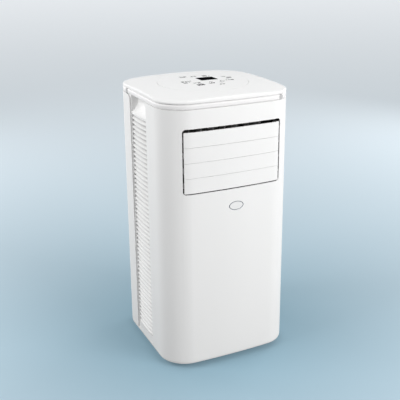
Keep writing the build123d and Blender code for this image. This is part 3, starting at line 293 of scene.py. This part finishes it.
def plastic(name, colour, roughness, depth=MOULD_DEPTH, gloss=PLASTIC_GLOSS):
    """Moulded plastic: faint flow marks in the colour, uneven sheen and a fine moulded grain."""
    material, tree, shader = new_material(name)
    dark = tuple(channel * (1 - FLOW_TONE) for channel in colour) + (1,)
    flow = noise(tree, FLOW_SCALE, stretch=FLOW_STRETCH)
    tree.links.new(colour_mix(tree, flow, dark, (*colour, 1)), shader.inputs["Base Color"])
    low, high = roughness * (1 - SHEEN_SPREAD), roughness * (1 + SHEEN_SPREAD)
    tree.links.new(ranged(tree, noise(tree, SHEEN_SCALE), low, high), shader.inputs["Roughness"])
    shader.inputs["Specular IOR Level"].default_value = gloss
    add_bump(tree, shader, noise(tree, MOULD_GRAIN), depth)
    return material


# Louvred plastic: painted shade lies deep in from the side and below the hand recess, between these depths
# and heights
WHITE = (0.88, 0.88, 0.875)
LOUVRE_SHADE = (0.52, 0.515, 0.51, 1)
LOUVRE_SHADE_DEPTH = (0.1500, 0.1562)
LOUVRE_SHADE_TOP = (0.5770, 0.5800)
SPECKLE_SCALE = 220.0
SPECKLE_RANGE = (0.94, 1.03)
LOUVRE_SHADE_ROUGHNESS = 0.8
GRILLE_ROUGHNESS = 0.46
GRILLE_GRAIN = 2600.0
GRILLE_DEPTH = 0.00004


def louvred_plastic(name):
    """Satin white plastic with painted shade deep between the louvres below the hand recess, and a fine
    random speckle.
    """
    material, tree, shader = new_material(name)
    coordinates = tree.nodes.new("ShaderNodeTexCoord")
    place = tree.nodes.new("ShaderNodeSeparateXYZ")
    tree.links.new(coordinates.outputs["Object"], place.inputs[0])
    side = tree.nodes.new("ShaderNodeMath")
    side.operation = "ABSOLUTE"
    tree.links.new(place.outputs["X"], side.inputs[0])
    # Painted shade: deep in from the side and below the hand recess the white is mixed towards a dark tone
    outward = ranged(tree, side.outputs[0], 0, 1, LOUVRE_SHADE_DEPTH)
    above = ranged(tree, place.outputs["Z"], 0, 1, LOUVRE_SHADE_TOP)
    unshaded = combined(tree, "MAXIMUM", outward, above)
    speckle = ranged(tree, noise(tree, SPECKLE_SCALE, FINE_DETAIL), *SPECKLE_RANGE)
    speckled = combined(tree, "MULTIPLY", unshaded, speckle)
    tree.links.new(colour_mix(tree, speckled, LOUVRE_SHADE, (*WHITE, 1)), shader.inputs["Base Color"])
    tree.links.new(ranged(tree, unshaded, LOUVRE_SHADE_ROUGHNESS, GRILLE_ROUGHNESS), shader.inputs["Roughness"])
    add_bump(tree, shader, noise(tree, GRILLE_GRAIN), GRILLE_DEPTH)
    return material


# Metal
METAL_SHADE = 0.85
METAL_TONE_SCALE = 60.0
METAL_MARKS = 900.0
METAL_SPREAD = 0.2
METAL_DEPTH = 0.00001
DRAWN_STRETCH = (1, 1, 0.1)


def metal(name, colour, roughness, stretch=EVEN):
    """Bare or plated metal with fine drawing marks."""
    material, tree, shader = new_material(name)
    dark = tuple(channel * METAL_SHADE for channel in colour) + (1,)
    tone = noise(tree, METAL_TONE_SCALE)
    tree.links.new(colour_mix(tree, tone, dark, (*colour, 1)), shader.inputs["Base Color"])
    marks = noise(tree, METAL_MARKS, stretch=stretch)
    low, high = roughness * (1 - METAL_SPREAD), roughness * (1 + METAL_SPREAD)
    tree.links.new(ranged(tree, marks, low, high), shader.inputs["Roughness"])
    shader.inputs["Metallic"].default_value = 1.0
    add_bump(tree, shader, marks, METAL_DEPTH)
    return material


# Rubber
BLOOM_GAIN = 1.8
BLOOM_LIFT = 0.01
BLOOM_SCALE = 160.0
RUBBER_ROUGHNESS = (0.65, 0.9)
RUBBER_SHEEN_SCALE = 90.0
RUBBER_GLOSS = 0.3
RUBBER_GRAIN = 1800.0
RUBBER_DEPTH = 0.00006


def rubber(name, colour):
    """Dull rubber with a dusty bloom."""
    material, tree, shader = new_material(name)
    bloom = tuple(min(1, channel * BLOOM_GAIN + BLOOM_LIFT) for channel in colour) + (1,)
    dusting = noise(tree, BLOOM_SCALE, FINE_DETAIL)
    tree.links.new(colour_mix(tree, dusting, (*colour, 1), bloom), shader.inputs["Base Color"])
    sheen = ranged(tree, noise(tree, RUBBER_SHEEN_SCALE), *RUBBER_ROUGHNESS)
    tree.links.new(sheen, shader.inputs["Roughness"])
    shader.inputs["Specular IOR Level"].default_value = RUBBER_GLOSS
    add_bump(tree, shader, noise(tree, RUBBER_GRAIN), RUBBER_DEPTH)
    return material


# Fin packs
FIN_PITCH = 0.0022
FIN_GAP_SHADE = (0.10, 0.10, 0.11, 1)
FIN_EDGE = (0.78, 0.79, 0.80, 1)
FIN_SHEEN_SCALE = 300.0
FIN_ROUGHNESS = (0.3, 0.5)
FIN_METALLIC = 0.9
FIN_DEPTH = 0.0006


def fin_metal(name, axis):
    """Fin pack: close thin plates across an axis, with painted shade in the gaps between them."""
    material, tree, shader = new_material(name)
    ridges = bands(tree, FIN_PITCH, axis)
    # Painted shade: the gaps between the plates are coloured dark
    tree.links.new(colour_mix(tree, ridges, FIN_GAP_SHADE, FIN_EDGE), shader.inputs["Base Color"])
    sheen = ranged(tree, noise(tree, FIN_SHEEN_SCALE), *FIN_ROUGHNESS)
    tree.links.new(sheen, shader.inputs["Roughness"])
    shader.inputs["Metallic"].default_value = FIN_METALLIC
    add_bump(tree, shader, ridges, FIN_DEPTH)
    return material


# Filter net
NET_PITCH = 0.0016
NET_OPENING_SHADE = (0.03, 0.032, 0.035, 1)
NET_THREAD = (0.20, 0.215, 0.23, 1)
NET_ROUGHNESS = 0.75
NET_DEPTH = 0.0003


def net(name):
    """Fine woven filter net: crossing threads over openings coloured dark as painted shade."""
    material, tree, shader = new_material(name)
    across = bands(tree, NET_PITCH, "X")
    upright = bands(tree, NET_PITCH, "Z")
    threads = combined(tree, "MAXIMUM", across, upright)
    # Painted shade: the openings between the threads are coloured dark
    tree.links.new(colour_mix(tree, threads, NET_OPENING_SHADE, NET_THREAD), shader.inputs["Base Color"])
    shader.inputs["Roughness"].default_value = NET_ROUGHNESS
    add_bump(tree, shader, threads, NET_DEPTH)
    return material


# Circuit board
BOARD_LACQUER = (0.012, 0.09, 0.035, 1)
BOARD_COPPER = (0.03, 0.17, 0.07, 1)
RUN_PITCH_ACROSS = 0.006
RUN_PITCH_ALONG = 0.009
BOARD_SHEEN_SCALE = 200.0
BOARD_ROUGHNESS = (0.25, 0.4)
BOARD_DEPTH = 0.00005


def circuit(name):
    """Green lacquered board with paler copper runs under the lacquer."""
    material, tree, shader = new_material(name)
    across = bands(tree, RUN_PITCH_ACROSS, "X")
    along = bands(tree, RUN_PITCH_ALONG, "Y")
    runs = combined(tree, "MULTIPLY", across, along)
    tree.links.new(colour_mix(tree, runs, BOARD_LACQUER, BOARD_COPPER), shader.inputs["Base Color"])
    sheen = ranged(tree, noise(tree, BOARD_SHEEN_SCALE), *BOARD_ROUGHNESS)
    tree.links.new(sheen, shader.inputs["Roughness"])
    add_bump(tree, shader, runs, BOARD_DEPTH)
    return material


# Finishes by material slot
materials = {
    "white_shell": plastic("white_shell", colour=WHITE, roughness=0.46),
    "white_grille": louvred_plastic("white_grille"),
    "white_trim": plastic("white_trim", colour=(0.87, 0.862, 0.862), roughness=0.42),
    "facia": plastic("facia", colour=WHITE, roughness=0.44),
    "display_black": plastic("display_black", colour=(0.003, 0.003, 0.004), roughness=0.3,
                             depth=POLISHED_DEPTH, gloss=0.0),
    "key_white": plastic("key_white", colour=WHITE, roughness=0.36),
    "badge_metal": metal("badge_metal", colour=(0.24, 0.24, 0.245), roughness=0.16),
    "plug_grey": plastic("plug_grey", colour=(0.50, 0.495, 0.50), roughness=0.45),
    "blade_white": plastic("blade_white", colour=(0.89, 0.89, 0.885), roughness=0.34),
    "duct_grey": plastic("duct_grey", colour=(0.05, 0.049, 0.05), roughness=0.6),
    "vane_grey": plastic("vane_grey", colour=(0.86, 0.85, 0.85), roughness=0.5),
    "base_plastic": plastic("base_plastic", colour=(0.80, 0.80, 0.79), roughness=0.5),
    "caster_plastic": plastic("caster_plastic", colour=(0.02, 0.02, 0.022), roughness=0.5),
    "caster_rubber": rubber("caster_rubber", colour=(0.07, 0.07, 0.072)),
    "inner_plastic": plastic("inner_plastic", colour=(0.55, 0.55, 0.53), roughness=0.6),
    "blower_plastic": plastic("blower_plastic", colour=(0.05, 0.05, 0.055), roughness=0.5),
    "motor_metal": metal("motor_metal", colour=(0.5, 0.5, 0.5), roughness=0.4),
    "coil_aluminium": fin_metal("coil_fins", "X"),
    "compressor_black": plastic("compressor_black", colour=(0.012, 0.012, 0.012), roughness=0.35),
    "soft_rubber": rubber("soft_rubber", colour=(0.02, 0.02, 0.02)),
    "copper_pipe": metal("copper_pipe", colour=(0.75, 0.42, 0.27), roughness=0.35, stretch=DRAWN_STRETCH),
    "board_green": circuit("board_green"),
    "screw_steel": metal("screw_steel", colour=(0.6, 0.6, 0.6), roughness=0.3),
    "filter_net": net("filter_net"),
}
side_fins = fin_metal("side_coil_fins", "Y")
cover_white = plastic("cover_white", colour=WHITE, roughness=0.46)
badge_face = plastic("badge_face", colour=(0.86, 0.86, 0.86), roughness=0.3)
dark_ink = plastic("dark_ink", colour=(0.02, 0.02, 0.021), roughness=0.6, gloss=INK_GLOSS)
grey_ink = plastic("grey_ink", colour=(0.10, 0.10, 0.103), roughness=0.6, gloss=INK_GLOSS)
ghost_ink = plastic("ghost_ink", colour=(0.010, 0.010, 0.011), roughness=0.3, depth=POLISHED_DEPTH, gloss=0.0)
# Painted shade for the cross recesses in the rear screws
recess_shade = plastic("recess_shade", colour=(0.01, 0.01, 0.01), roughness=0.6)

for node, slot in slot_of.items():
    mesh = nodes[node].data
    mesh.materials.clear()
    mesh.materials.append(materials[slot])
nodes["condenser_coil"].data.materials[0] = side_fins
nodes["filter_cover"].data.materials[0] = cover_white

# Softened copies of the pieces in view: every sharp moulded edge gets a small round, in millimetres
WELD = 0.000002
FLAT_TURN = radians(0.05)
SHARP_TURN = radians(28)
SHADE_TURN = radians(24)
ROUND_STEPS = 2
ROUND_PROFILE = 0.5
NORMAL_WEIGHT = 90
edge_rounds = {
    "front_panel": 0.7,
    "rear_panel": 0.7,
    "top_frame": 0.3,
    "top_cover": 0.35,
    "control_panel": 0.3,
    "side_grille_left": 0.45,
    "side_grille_right": 0.45,
    "base_pan": 0.8,
    "filter_cover": 0.4,
    "exhaust_collar": 0.7,
    "exhaust_duct": 0.4,
    "band_plugs": 0.5,
    "display_window": 0.15,
    "badge_plate": 0.2,
    "outlet_frame": 0.3,
    "drain_plug": 0.6,
    "cord_gland": 0.5,
    "case_screws": 0.25,
}
family_rounds = {"louvre_blade": 0.6, "vane": 0.3, "caster_fork": 0.5, "caster_wheel": 0.4, "key": 0.3}
for family, size in family_rounds.items():
    for node in nodes:
        if node.startswith(family + "_"):
            edge_rounds[node] = size


def link_piece(name, mesh, body):
    """New object for a mesh, riding on a body."""
    piece = bpy.data.objects.new(name, mesh)
    bpy.context.scene.collection.objects.link(piece)
    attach(piece, body)
    return piece


def soften(node, size):
    """Copy of a node with its sharp edges rounded."""
    mesh = nodes[node].data.copy()
    model = bmesh.new()
    model.from_mesh(mesh)
    bmesh.ops.remove_doubles(model, verts=model.verts, dist=WELD)
    bmesh.ops.dissolve_limit(model, angle_limit=FLAT_TURN, verts=model.verts, edges=model.edges)
    sharp = [edge for edge in model.edges if edge.is_manifold and edge.calc_face_angle(0) > SHARP_TURN]
    bmesh.ops.bevel(model, geom=sharp, offset=size * MM, offset_type="OFFSET", segments=ROUND_STEPS,
                    profile=ROUND_PROFILE, affect="EDGES", clamp_overlap=True)
    for face in model.faces:
        face.smooth = True
    model.to_mesh(mesh)
    model.free()
    mesh.set_sharp_from_angle(angle=SHADE_TURN)
    piece = link_piece(node + "_soft", mesh, body_of[node])
    evened = piece.modifiers.new("evened_shading", "WEIGHTED_NORMAL")
    evened.mode = "FACE_AREA"
    evened.weight = NORMAL_WEIGHT
    evened.keep_sharp = True
    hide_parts(node)
    return piece


soft = {node: soften(node, size) for node, size in edge_rounds.items()}

# Badge: plated rim round a plain satin face
BADGE_RIM = 0.0016
FACING_FRONT = -0.9
badge = soft["badge_plate"].data
badge.materials.append(badge_face)
low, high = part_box("badge_plate")
middle = (low + high) / 2
half_wide = (high.x - low.x) / 2 - BADGE_RIM
half_tall = (high.z - low.z) / 2 - BADGE_RIM
for face in badge.polygons:
    across = (face.center.x - middle.x) / half_wide
    upward = (face.center.z - middle.z) / half_tall
    if hypot(across, upward) < 1 and face.normal.y < FACING_FRONT:
        face.material_index = 1

# Printed signs on the facia, the keys and the display, in millimetres
INK_RISE = 0.02
INK_DEPTH = 0.12
INK_STEP = 4.0
INK_WELD = 0.0001
CROWN_RADIUS = 2000.0
KEY_PROUD = 0.2
facia_points = [vertex.co / MM for vertex in nodes["control_panel"].data.vertices]
facia_top = max(point.z + (point.x ** 2 + point.y ** 2) / (2 * CROWN_RADIUS) for point in facia_points)


def place_of(node):
    """Middle of a node seen from above, in millimetres."""
    low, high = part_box(node)
    return (low.x + high.x) / 2 / MM, (low.y + high.y) / 2 / MM


def add_prism(model, top, bottom):
    """Closed prism between two matching rings of points."""
    top = [model.verts.new(point) for point in top]
    bottom = [model.verts.new(point) for point in bottom]
    model.faces.new(top)
    model.faces.new(list(reversed(bottom)))
    for step in range(len(top)):
        following = (step + 1) % len(top)
        model.faces.new((top[following], top[step], bottom[step], bottom[following]))


def closed_mesh(name, model, material):
    """Mesh of one finish from a built model."""
    bmesh.ops.recalc_face_normals(model, faces=model.faces)
    mesh = bpy.data.meshes.new(name)
    model.to_mesh(mesh)
    model.free()
    mesh.materials.append(material)
    return mesh


def print_sign(name, outlines, ink, body="cabinet", proud=0.0, depth=INK_DEPTH):
    """Thin closed print, cut on a fine grid and bent to the crown of the facia."""
    model = bmesh.new()
    for outline in outlines:
        add_prism(model, [(x, y, INK_RISE) for x, y in outline], [(x, y, -depth) for x, y in outline])
    for axis in (Vector((1, 0, 0)), Vector((0, 1, 0))):
        spots = [vertex.co.dot(axis) for vertex in model.verts]
        place = min(spots) + INK_STEP
        while place < max(spots):
            geometry = model.verts[:] + model.edges[:] + model.faces[:]
            bmesh.ops.bisect_plane(model, geom=geometry, dist=INK_WELD, plane_co=place * axis, plane_no=axis)
            place += INK_STEP
    for vertex in model.verts:
        x, y, rise = vertex.co
        crown = facia_top - (x * x + y * y) / (2 * CROWN_RADIUS)
        vertex.co = Vector((x, y, crown + proud + rise)) * MM
    link_piece(name, closed_mesh(name, model, ink), body)


def key_sign(node, outlines):
    """Print on a key, which it moves with."""
    print_sign("sign_" + node, outlines, dark_ink, body_of[node], KEY_PROUD)


# Outlines of the signs: lists of points in millimetres, turns in degrees
DISC_STEPS = 24
ARC_STEPS = 20
PILL_STEPS = 10
WAVE_STEPS = 24
WAVE_SWELL_TURN = 3 * pi
DROP_STEPS = 20
DROP_POINT = 1.7
DROP_START = 150
DROP_SWEEP = 240
FLAKE_ARMS = (30, 90, 150)
FLAKE_TIPS = range(30, 390, 60)
BARB_PLACE = 0.68
BARB_SHIFT = 0.16
BARB_LENGTH = 0.34
BARB_LEAN = 40
FAN_HUB = 0.2
FAN_TURNS = (90, 210, 330)
FAN_BLADE = ((0.3, -14), (0.62, -34), (0.92, -28), (1.0, -4), (0.86, 20), (0.55, 16), (0.3, 16))
ARROW_FOOT = 0.55
ARROW_TIP = 0.65
ARROW_INNER_WIDTH = 0.6
ARROW_INNER_FOOT = 0.85
ARROW_INNER_TIP = 0.1


def around(x, y, radius, turn):
    """Point at a bearing from a centre."""
    return x + radius * cos(radians(turn)), y + radius * sin(radians(turn))


def bar(x, y, width, height, turn=0.0):
    """Outline of a flat bar, turned about its middle."""
    cosine, sine = cos(radians(turn)), sin(radians(turn))
    side, end = width / 2, height / 2
    corners = ((-side, -end), (side, -end), (side, end), (-side, end))
    return [(x + cosine * across - sine * along, y + sine * across + cosine * along)
            for across, along in corners]


def disc(x, y, radius):
    return [around(x, y, radius, 360 * step / DISC_STEPS) for step in range(DISC_STEPS)]


def arc(x, y, radius, width, start, end):
    """Outline of a curved stroke between two bearings."""
    turns = [start + (end - start) * step / ARC_STEPS for step in range(ARC_STEPS + 1)]
    outer = [around(x, y, radius + width / 2, turn) for turn in turns]
    inner = [around(x, y, radius - width / 2, turn) for turn in reversed(turns)]
    return outer + inner


def circle(x, y, radius, width):
    """Closed ring as two half strokes."""
    return [arc(x, y, radius, width, 0, 180), arc(x, y, radius, width, 180, 360)]


def pill(x, y, length, width):
    """Outline of a bar with round ends."""
    reach = (length - width) / 2
    turns = [-90 + 180 * step / PILL_STEPS for step in range(PILL_STEPS + 1)]
    outline = [around(x + reach, y, width / 2, turn) for turn in turns]
    return outline + [(2 * x - u, 2 * y - v) for u, v in outline]


def wave(x, y, length, height, width):
    """Outline of a wavy stroke, one and a half swells long."""
    shares = [step / WAVE_STEPS for step in range(WAVE_STEPS + 1)]
    line = [(x + length * (share - 0.5), y + height * sin(WAVE_SWELL_TURN * share)) for share in shares]
    upper = [(u, v + width / 2) for u, v in line]
    return upper + [(u, v - width / 2) for u, v in reversed(line)]


def flake(x, y, reach, width):
    """Six-armed frost sign."""
    arms = [bar(x, y, 2 * reach, width, turn) for turn in FLAKE_ARMS]
    for turn in FLAKE_TIPS:
        tip = around(x, y, BARB_PLACE * reach, turn)
        for lean in (turn - BARB_LEAN, turn + BARB_LEAN):
            centre = around(*tip, BARB_SHIFT * reach, lean)
            arms.append(bar(*centre, BARB_LENGTH * reach, width, lean))
    return arms


def drop(x, y, reach):
    """Outline of a water drop with its point up."""
    turns = [DROP_START + DROP_SWEEP * step / DROP_STEPS for step in range(DROP_STEPS + 1)]
    return [(x, y + DROP_POINT * reach)] + [around(x, y, reach, turn) for turn in turns]


def fan_sign(x, y, reach):
    """Three swept blades round a hub."""
    marks = [disc(x, y, FAN_HUB * reach)]
    for turn in FAN_TURNS:
        marks.append([around(x, y, reach * span, turn + lean) for span, lean in FAN_BLADE])
    return marks


def chevron(x, y, reach, way):
    """Arrow head that points away from the user for way 1, towards for way -1."""
    half = ARROW_INNER_WIDTH * reach
    foot = y - way * reach * ARROW_FOOT
    inner_foot = y - way * reach * ARROW_INNER_FOOT
    tip = y + way * reach * ARROW_TIP
    inner_tip = y + way * reach * ARROW_INNER_TIP
    outer = [(x - reach, foot), (x, tip), (x + reach, foot)]
    return [outer + [(x + half, inner_foot), (x, inner_tip), (x - half, inner_foot)]]


def label(x, y, pieces, length, width, gap):
    """Row of short dashes that marks a key's function lamps."""
    start = x - (pieces - 1) * (length + gap) / 2
    return [pill(start + step * (length + gap), y, length, width) for step in range(pieces)]


# Power: open ring with a stroke through its gap, and rows of long and short dashes
POWER_RING = 3.1
POWER_STROKE = 1.2
POWER_START = 122
POWER_END = 418
POWER_BAR_RISE = 2.4
POWER_BAR_LENGTH = 3.8
POWER_ROWS_X = -4.0
POWER_ROWS_Y = (8.2, -9.6, -14.2, -18.8)
POWER_LONG_DASH = 8.6
POWER_SHORT_DASH = 5.6
POWER_DASH_WIDTH = 4.2
POWER_DASH_GAP = 0.6
x, y = place_of("key_power")
ring = arc(x, y, POWER_RING, POWER_STROKE, POWER_START, POWER_END)
key_sign("key_power", [ring, bar(x, y + POWER_BAR_RISE, POWER_STROKE, POWER_BAR_LENGTH)])
rows = []
for step, rise in enumerate(POWER_ROWS_Y):
    pieces, length = (3, POWER_SHORT_DASH) if step % 2 else (2, POWER_LONG_DASH)
    rows += label(x + POWER_ROWS_X, y + rise, pieces, length, POWER_DASH_WIDTH, POWER_DASH_GAP)
print_sign("sign_power_lamps", rows, dark_ink)

# Mode: frost and drop on the key, a row of dashes and a bracket beside it
MODE_FLAKE = 3.4
MODE_FLAKE_STROKE = 0.9
MODE_FLAKE_X = -3.8
MODE_DROP = 2.1
MODE_DROP_X = 3.9
MODE_DROP_Y = -0.8
MODE_ROW_X = 5.2
MODE_ROW_Y = 9.6
MODE_DASH = 5.2
MODE_DASH_WIDTH = 4.2
MODE_DASH_GAP = 0.7
BRACKET_X = -11.0
BRACKET_Y = 1.0
BRACKET_STROKE = 2.8
BRACKET_HEIGHT = 24.0
BRACKET_LIP = 5.6
BRACKET_LIP_STROKE = 3.2
x, y = place_of("key_mode")
frost = flake(x + MODE_FLAKE_X, y, MODE_FLAKE, MODE_FLAKE_STROKE)
key_sign("key_mode", frost + [drop(x + MODE_DROP_X, y + MODE_DROP_Y, MODE_DROP)])
row = label(x + MODE_ROW_X, y + MODE_ROW_Y, 3, MODE_DASH, MODE_DASH_WIDTH, MODE_DASH_GAP)
print_sign("sign_mode_lamps", row, dark_ink)
bracket = [bar(x + BRACKET_X, y + BRACKET_Y, BRACKET_STROKE, BRACKET_HEIGHT)]
lip_x = x + BRACKET_X + (BRACKET_STROKE + BRACKET_LIP) / 2
lip_rise = (BRACKET_HEIGHT - BRACKET_LIP_STROKE) / 2
for lip_y in (y + BRACKET_Y - lip_rise, y + BRACKET_Y + lip_rise):
    bracket.append(bar(lip_x, lip_y, BRACKET_LIP, BRACKET_LIP_STROKE))
print_sign("sign_mode_bracket", bracket, dark_ink)

# Timer: clock face, and a row of short dashes over a row of long ones
DASH_GAP = 0.8
CLOCK_RING = 3.3
CLOCK_STROKE = 1.1
HAND_STROKE = 0.9
HAND_SHIFT = 1.0
MINUTE_HAND = 2.4
HOUR_HAND = 2.2
TIMER_DASH_WIDTH = 3.8
TIMER_SHORT_DASH = 5.0
TIMER_SHORT_X = -2.0
TIMER_SHORT_Y = -9.4
TIMER_LONG_DASH = 6.0
TIMER_LONG_X = -3.0
TIMER_LONG_Y = -13.8
x, y = place_of("key_timer")
hands = [bar(x, y + HAND_SHIFT, HAND_STROKE, MINUTE_HAND), bar(x + HAND_SHIFT, y, HOUR_HAND, HAND_STROKE)]
key_sign("key_timer", circle(x, y, CLOCK_RING, CLOCK_STROKE) + hands)
rows = label(x + TIMER_SHORT_X, y + TIMER_SHORT_Y, 3, TIMER_SHORT_DASH, TIMER_DASH_WIDTH, DASH_GAP)
rows += label(x + TIMER_LONG_X, y + TIMER_LONG_Y, 2, TIMER_LONG_DASH, TIMER_DASH_WIDTH, DASH_GAP)
print_sign("sign_timer_lamps", rows, dark_ink)

# Up and down: arrow heads with a row of dashes in front of each
ARROW_REACH = 3.8
ARROW_DASH = 6.6
ARROW_DASH_WIDTH = 4.6
ARROW_ROW_Y = -9.4
UP_ROW_X = -1.0
DOWN_ROW_X = -3.0
for sense, way, row_x in (("up", 1, UP_ROW_X), ("down", -1, DOWN_ROW_X)):
    x, y = place_of("key_" + sense)
    key_sign("key_" + sense, chevron(x, y, ARROW_REACH, way))
    row = label(x + row_x, y + ARROW_ROW_Y, 2, ARROW_DASH, ARROW_DASH_WIDTH, DASH_GAP)
    print_sign("sign_" + sense + "_lamps", row, dark_ink)

# Fan: swept blades on the key, speed marks in front and a lamp mark behind
FAN_REACH = 4.4
SPEED_Y = -15.5
SPEED_DASH_X = 57.0
SPEED_DASH = 5.6
SPEED_DASH_WIDTH = 5.0
SPEED_MARK_X = 68.5
SPEED_MARK = 9.0
SPEED_MARK_WIDTH = 8.0
FAN_LAMP_X = 75.5
FAN_LAMP_Y = 14.5
FAN_LAMP = 14.0
FAN_LAMP_WIDTH = 9.5
key_sign("key_fan", fan_sign(*place_of("key_fan"), FAN_REACH))
speeds = label(SPEED_DASH_X, SPEED_Y, 2, SPEED_DASH, SPEED_DASH_WIDTH, DASH_GAP)
print_sign("sign_fan_speeds", speeds + [pill(SPEED_MARK_X, SPEED_Y, SPEED_MARK, SPEED_MARK_WIDTH)], dark_ink)
print_sign("sign_fan_lamp", [pill(FAN_LAMP_X, FAN_LAMP_Y, FAN_LAMP, FAN_LAMP_WIDTH)], dark_ink)

# Signs behind the display: air, dry, cool and swing
AIR_X = -21.0
AIR_ROWS = (60.2, 65.0, 69.8)
AIR_LENGTH = 17.0
AIR_SWELL = 1.6
AIR_STROKE = 2.7
DRY_DROP_X = -1.5
DRY_DROP_Y = 57.0
DRY_DROP = 3.6
DRY_MARK_X = 7.5
DRY_MARK_Y = 60.0
DRY_MARK = 7.4
DRY_MARK_WIDTH = 6.6
COOL_X = 31.5
COOL_FLAKE_Y = 59.0
COOL_FLAKE = 6.4
COOL_STROKE = 1.9
COOL_ROW_Y = 47.6
COOL_DASH = 6.0
COOL_DASH_WIDTH = 5.0
SWING_X = 68.0
SWING_ROWS = (26.2, 31.8)
SWING_LENGTH = 11.0
SWING_SWELL = 1.2
SWING_STROKE = 2.6
print_sign("sign_air", [wave(AIR_X, row, AIR_LENGTH, AIR_SWELL, AIR_STROKE) for row in AIR_ROWS], grey_ink)
dry = [drop(DRY_DROP_X, DRY_DROP_Y, DRY_DROP), pill(DRY_MARK_X, DRY_MARK_Y, DRY_MARK, DRY_MARK_WIDTH)]
print_sign("sign_dry", dry, dark_ink)
cool = flake(COOL_X, COOL_FLAKE_Y, COOL_FLAKE, COOL_STROKE)
cool += label(COOL_X, COOL_ROW_Y, 3, COOL_DASH, COOL_DASH_WIDTH, DASH_GAP)
print_sign("sign_cool", cool, dark_ink)
swing = [wave(SWING_X, row, SWING_LENGTH, SWING_SWELL, SWING_STROKE) for row in SWING_ROWS]
print_sign("sign_swing", swing, grey_ink)

# Display: black printed surround that laps over the window's edge, and two unlit figures
BEZEL_SIDE = 1.2
BEZEL_FRONT = 7.2
BEZEL_LAP = 0.1
BEZEL_DEPTH = 0.5
DISPLAY_DROP = 0.4
DIGIT_PLACES = (-7.5, 6.5)
DIGIT_WIDTH = 8.0
DIGIT_HALF = 7.0
DIGIT_STROKE = 1.5
DIGIT_LEAN = 0.12
DIGIT_LEAN_TURN = -6.8
DIGIT_GAP = 2.1


def segment_digit(x, y):
    """Unlit seven-segment figure, leaning forward a little."""
    marks = []
    for rise in (-DIGIT_HALF, 0, DIGIT_HALF):
        marks.append(bar(x + DIGIT_LEAN * rise, y + rise, DIGIT_WIDTH - DIGIT_STROKE, DIGIT_STROKE))
    for rise in (-DIGIT_HALF / 2, DIGIT_HALF / 2):
        for side in (-DIGIT_WIDTH / 2, DIGIT_WIDTH / 2):
            place = (x + side + DIGIT_LEAN * rise, y + rise)
            marks.append(bar(*place, DIGIT_STROKE, DIGIT_HALF - DIGIT_GAP, DIGIT_LEAN_TURN))
    return marks


x, y = place_of("display_window")
low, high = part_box("display_window")
display_width = (high.x - low.x) / MM - 2 * BEZEL_LAP
display_depth = (high.y - low.y) / MM - 2 * BEZEL_LAP
front_shift = (display_depth + BEZEL_FRONT) / 2
side_shift = (display_width + BEZEL_SIDE) / 2
bezel = []
for side in (-1, 1):
    bezel.append(bar(x, y + side * front_shift, display_width + 2 * BEZEL_SIDE, BEZEL_FRONT))
    bezel.append(bar(x + side * side_shift, y, BEZEL_SIDE, display_depth))
print_sign("display_bezel", bezel, materials["display_black"], depth=BEZEL_DEPTH)
figures = [mark for shift in DIGIT_PLACES for mark in segment_digit(x + shift, y)]
print_sign("display_figures", figures, ghost_ink, proud=-DISPLAY_DROP)

# Cross recesses in the rear screws as painted shade: dark crosses just over heads that are set back a little
SCREW_HEAD = 4.0 * MM
HEAD_DROP = 0.06 * MM
RECESS_REACH = 2.4 * MM
RECESS_HALF_WIDTH = 0.45 * MM
RECESS_DROP = 0.02 * MM
RECESS_DEPTH = 0.6 * MM


def cross_outline(x, z):
    """Points of an upright cross round a screw's middle."""
    near, far = RECESS_HALF_WIDTH, RECESS_REACH
    half = [(near, near), (far, near), (far, -near), (near, -near), (near, -far), (-near, -far)]
    other_half = [(-across, -upward) for across, upward in half]
    return [(x + across, z + upward) for across, upward in half + other_half]


low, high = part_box("case_screws")
for vertex in soft["case_screws"].data.vertices:
    vertex.co.y = min(vertex.co.y, high.y - HEAD_DROP)
model = bmesh.new()
for x in (low.x + SCREW_HEAD, high.x - SCREW_HEAD):
    for z in (low.z + SCREW_HEAD, high.z - SCREW_HEAD):
        cross = cross_outline(x, z)
        outer = [(across, high.y - RECESS_DROP, upward) for across, upward in cross]
        inner = [(across, high.y - RECESS_DEPTH, upward) for across, upward in cross]
        add_prism(model, outer, inner)
# Painted shade: dark crosses stand in for the shaded recesses
recesses = closed_mesh("screw_recess_shades", model, recess_shade)
link_piece("screw_recess_shades", recesses, "cabinet")

add_studio()
add_camera()
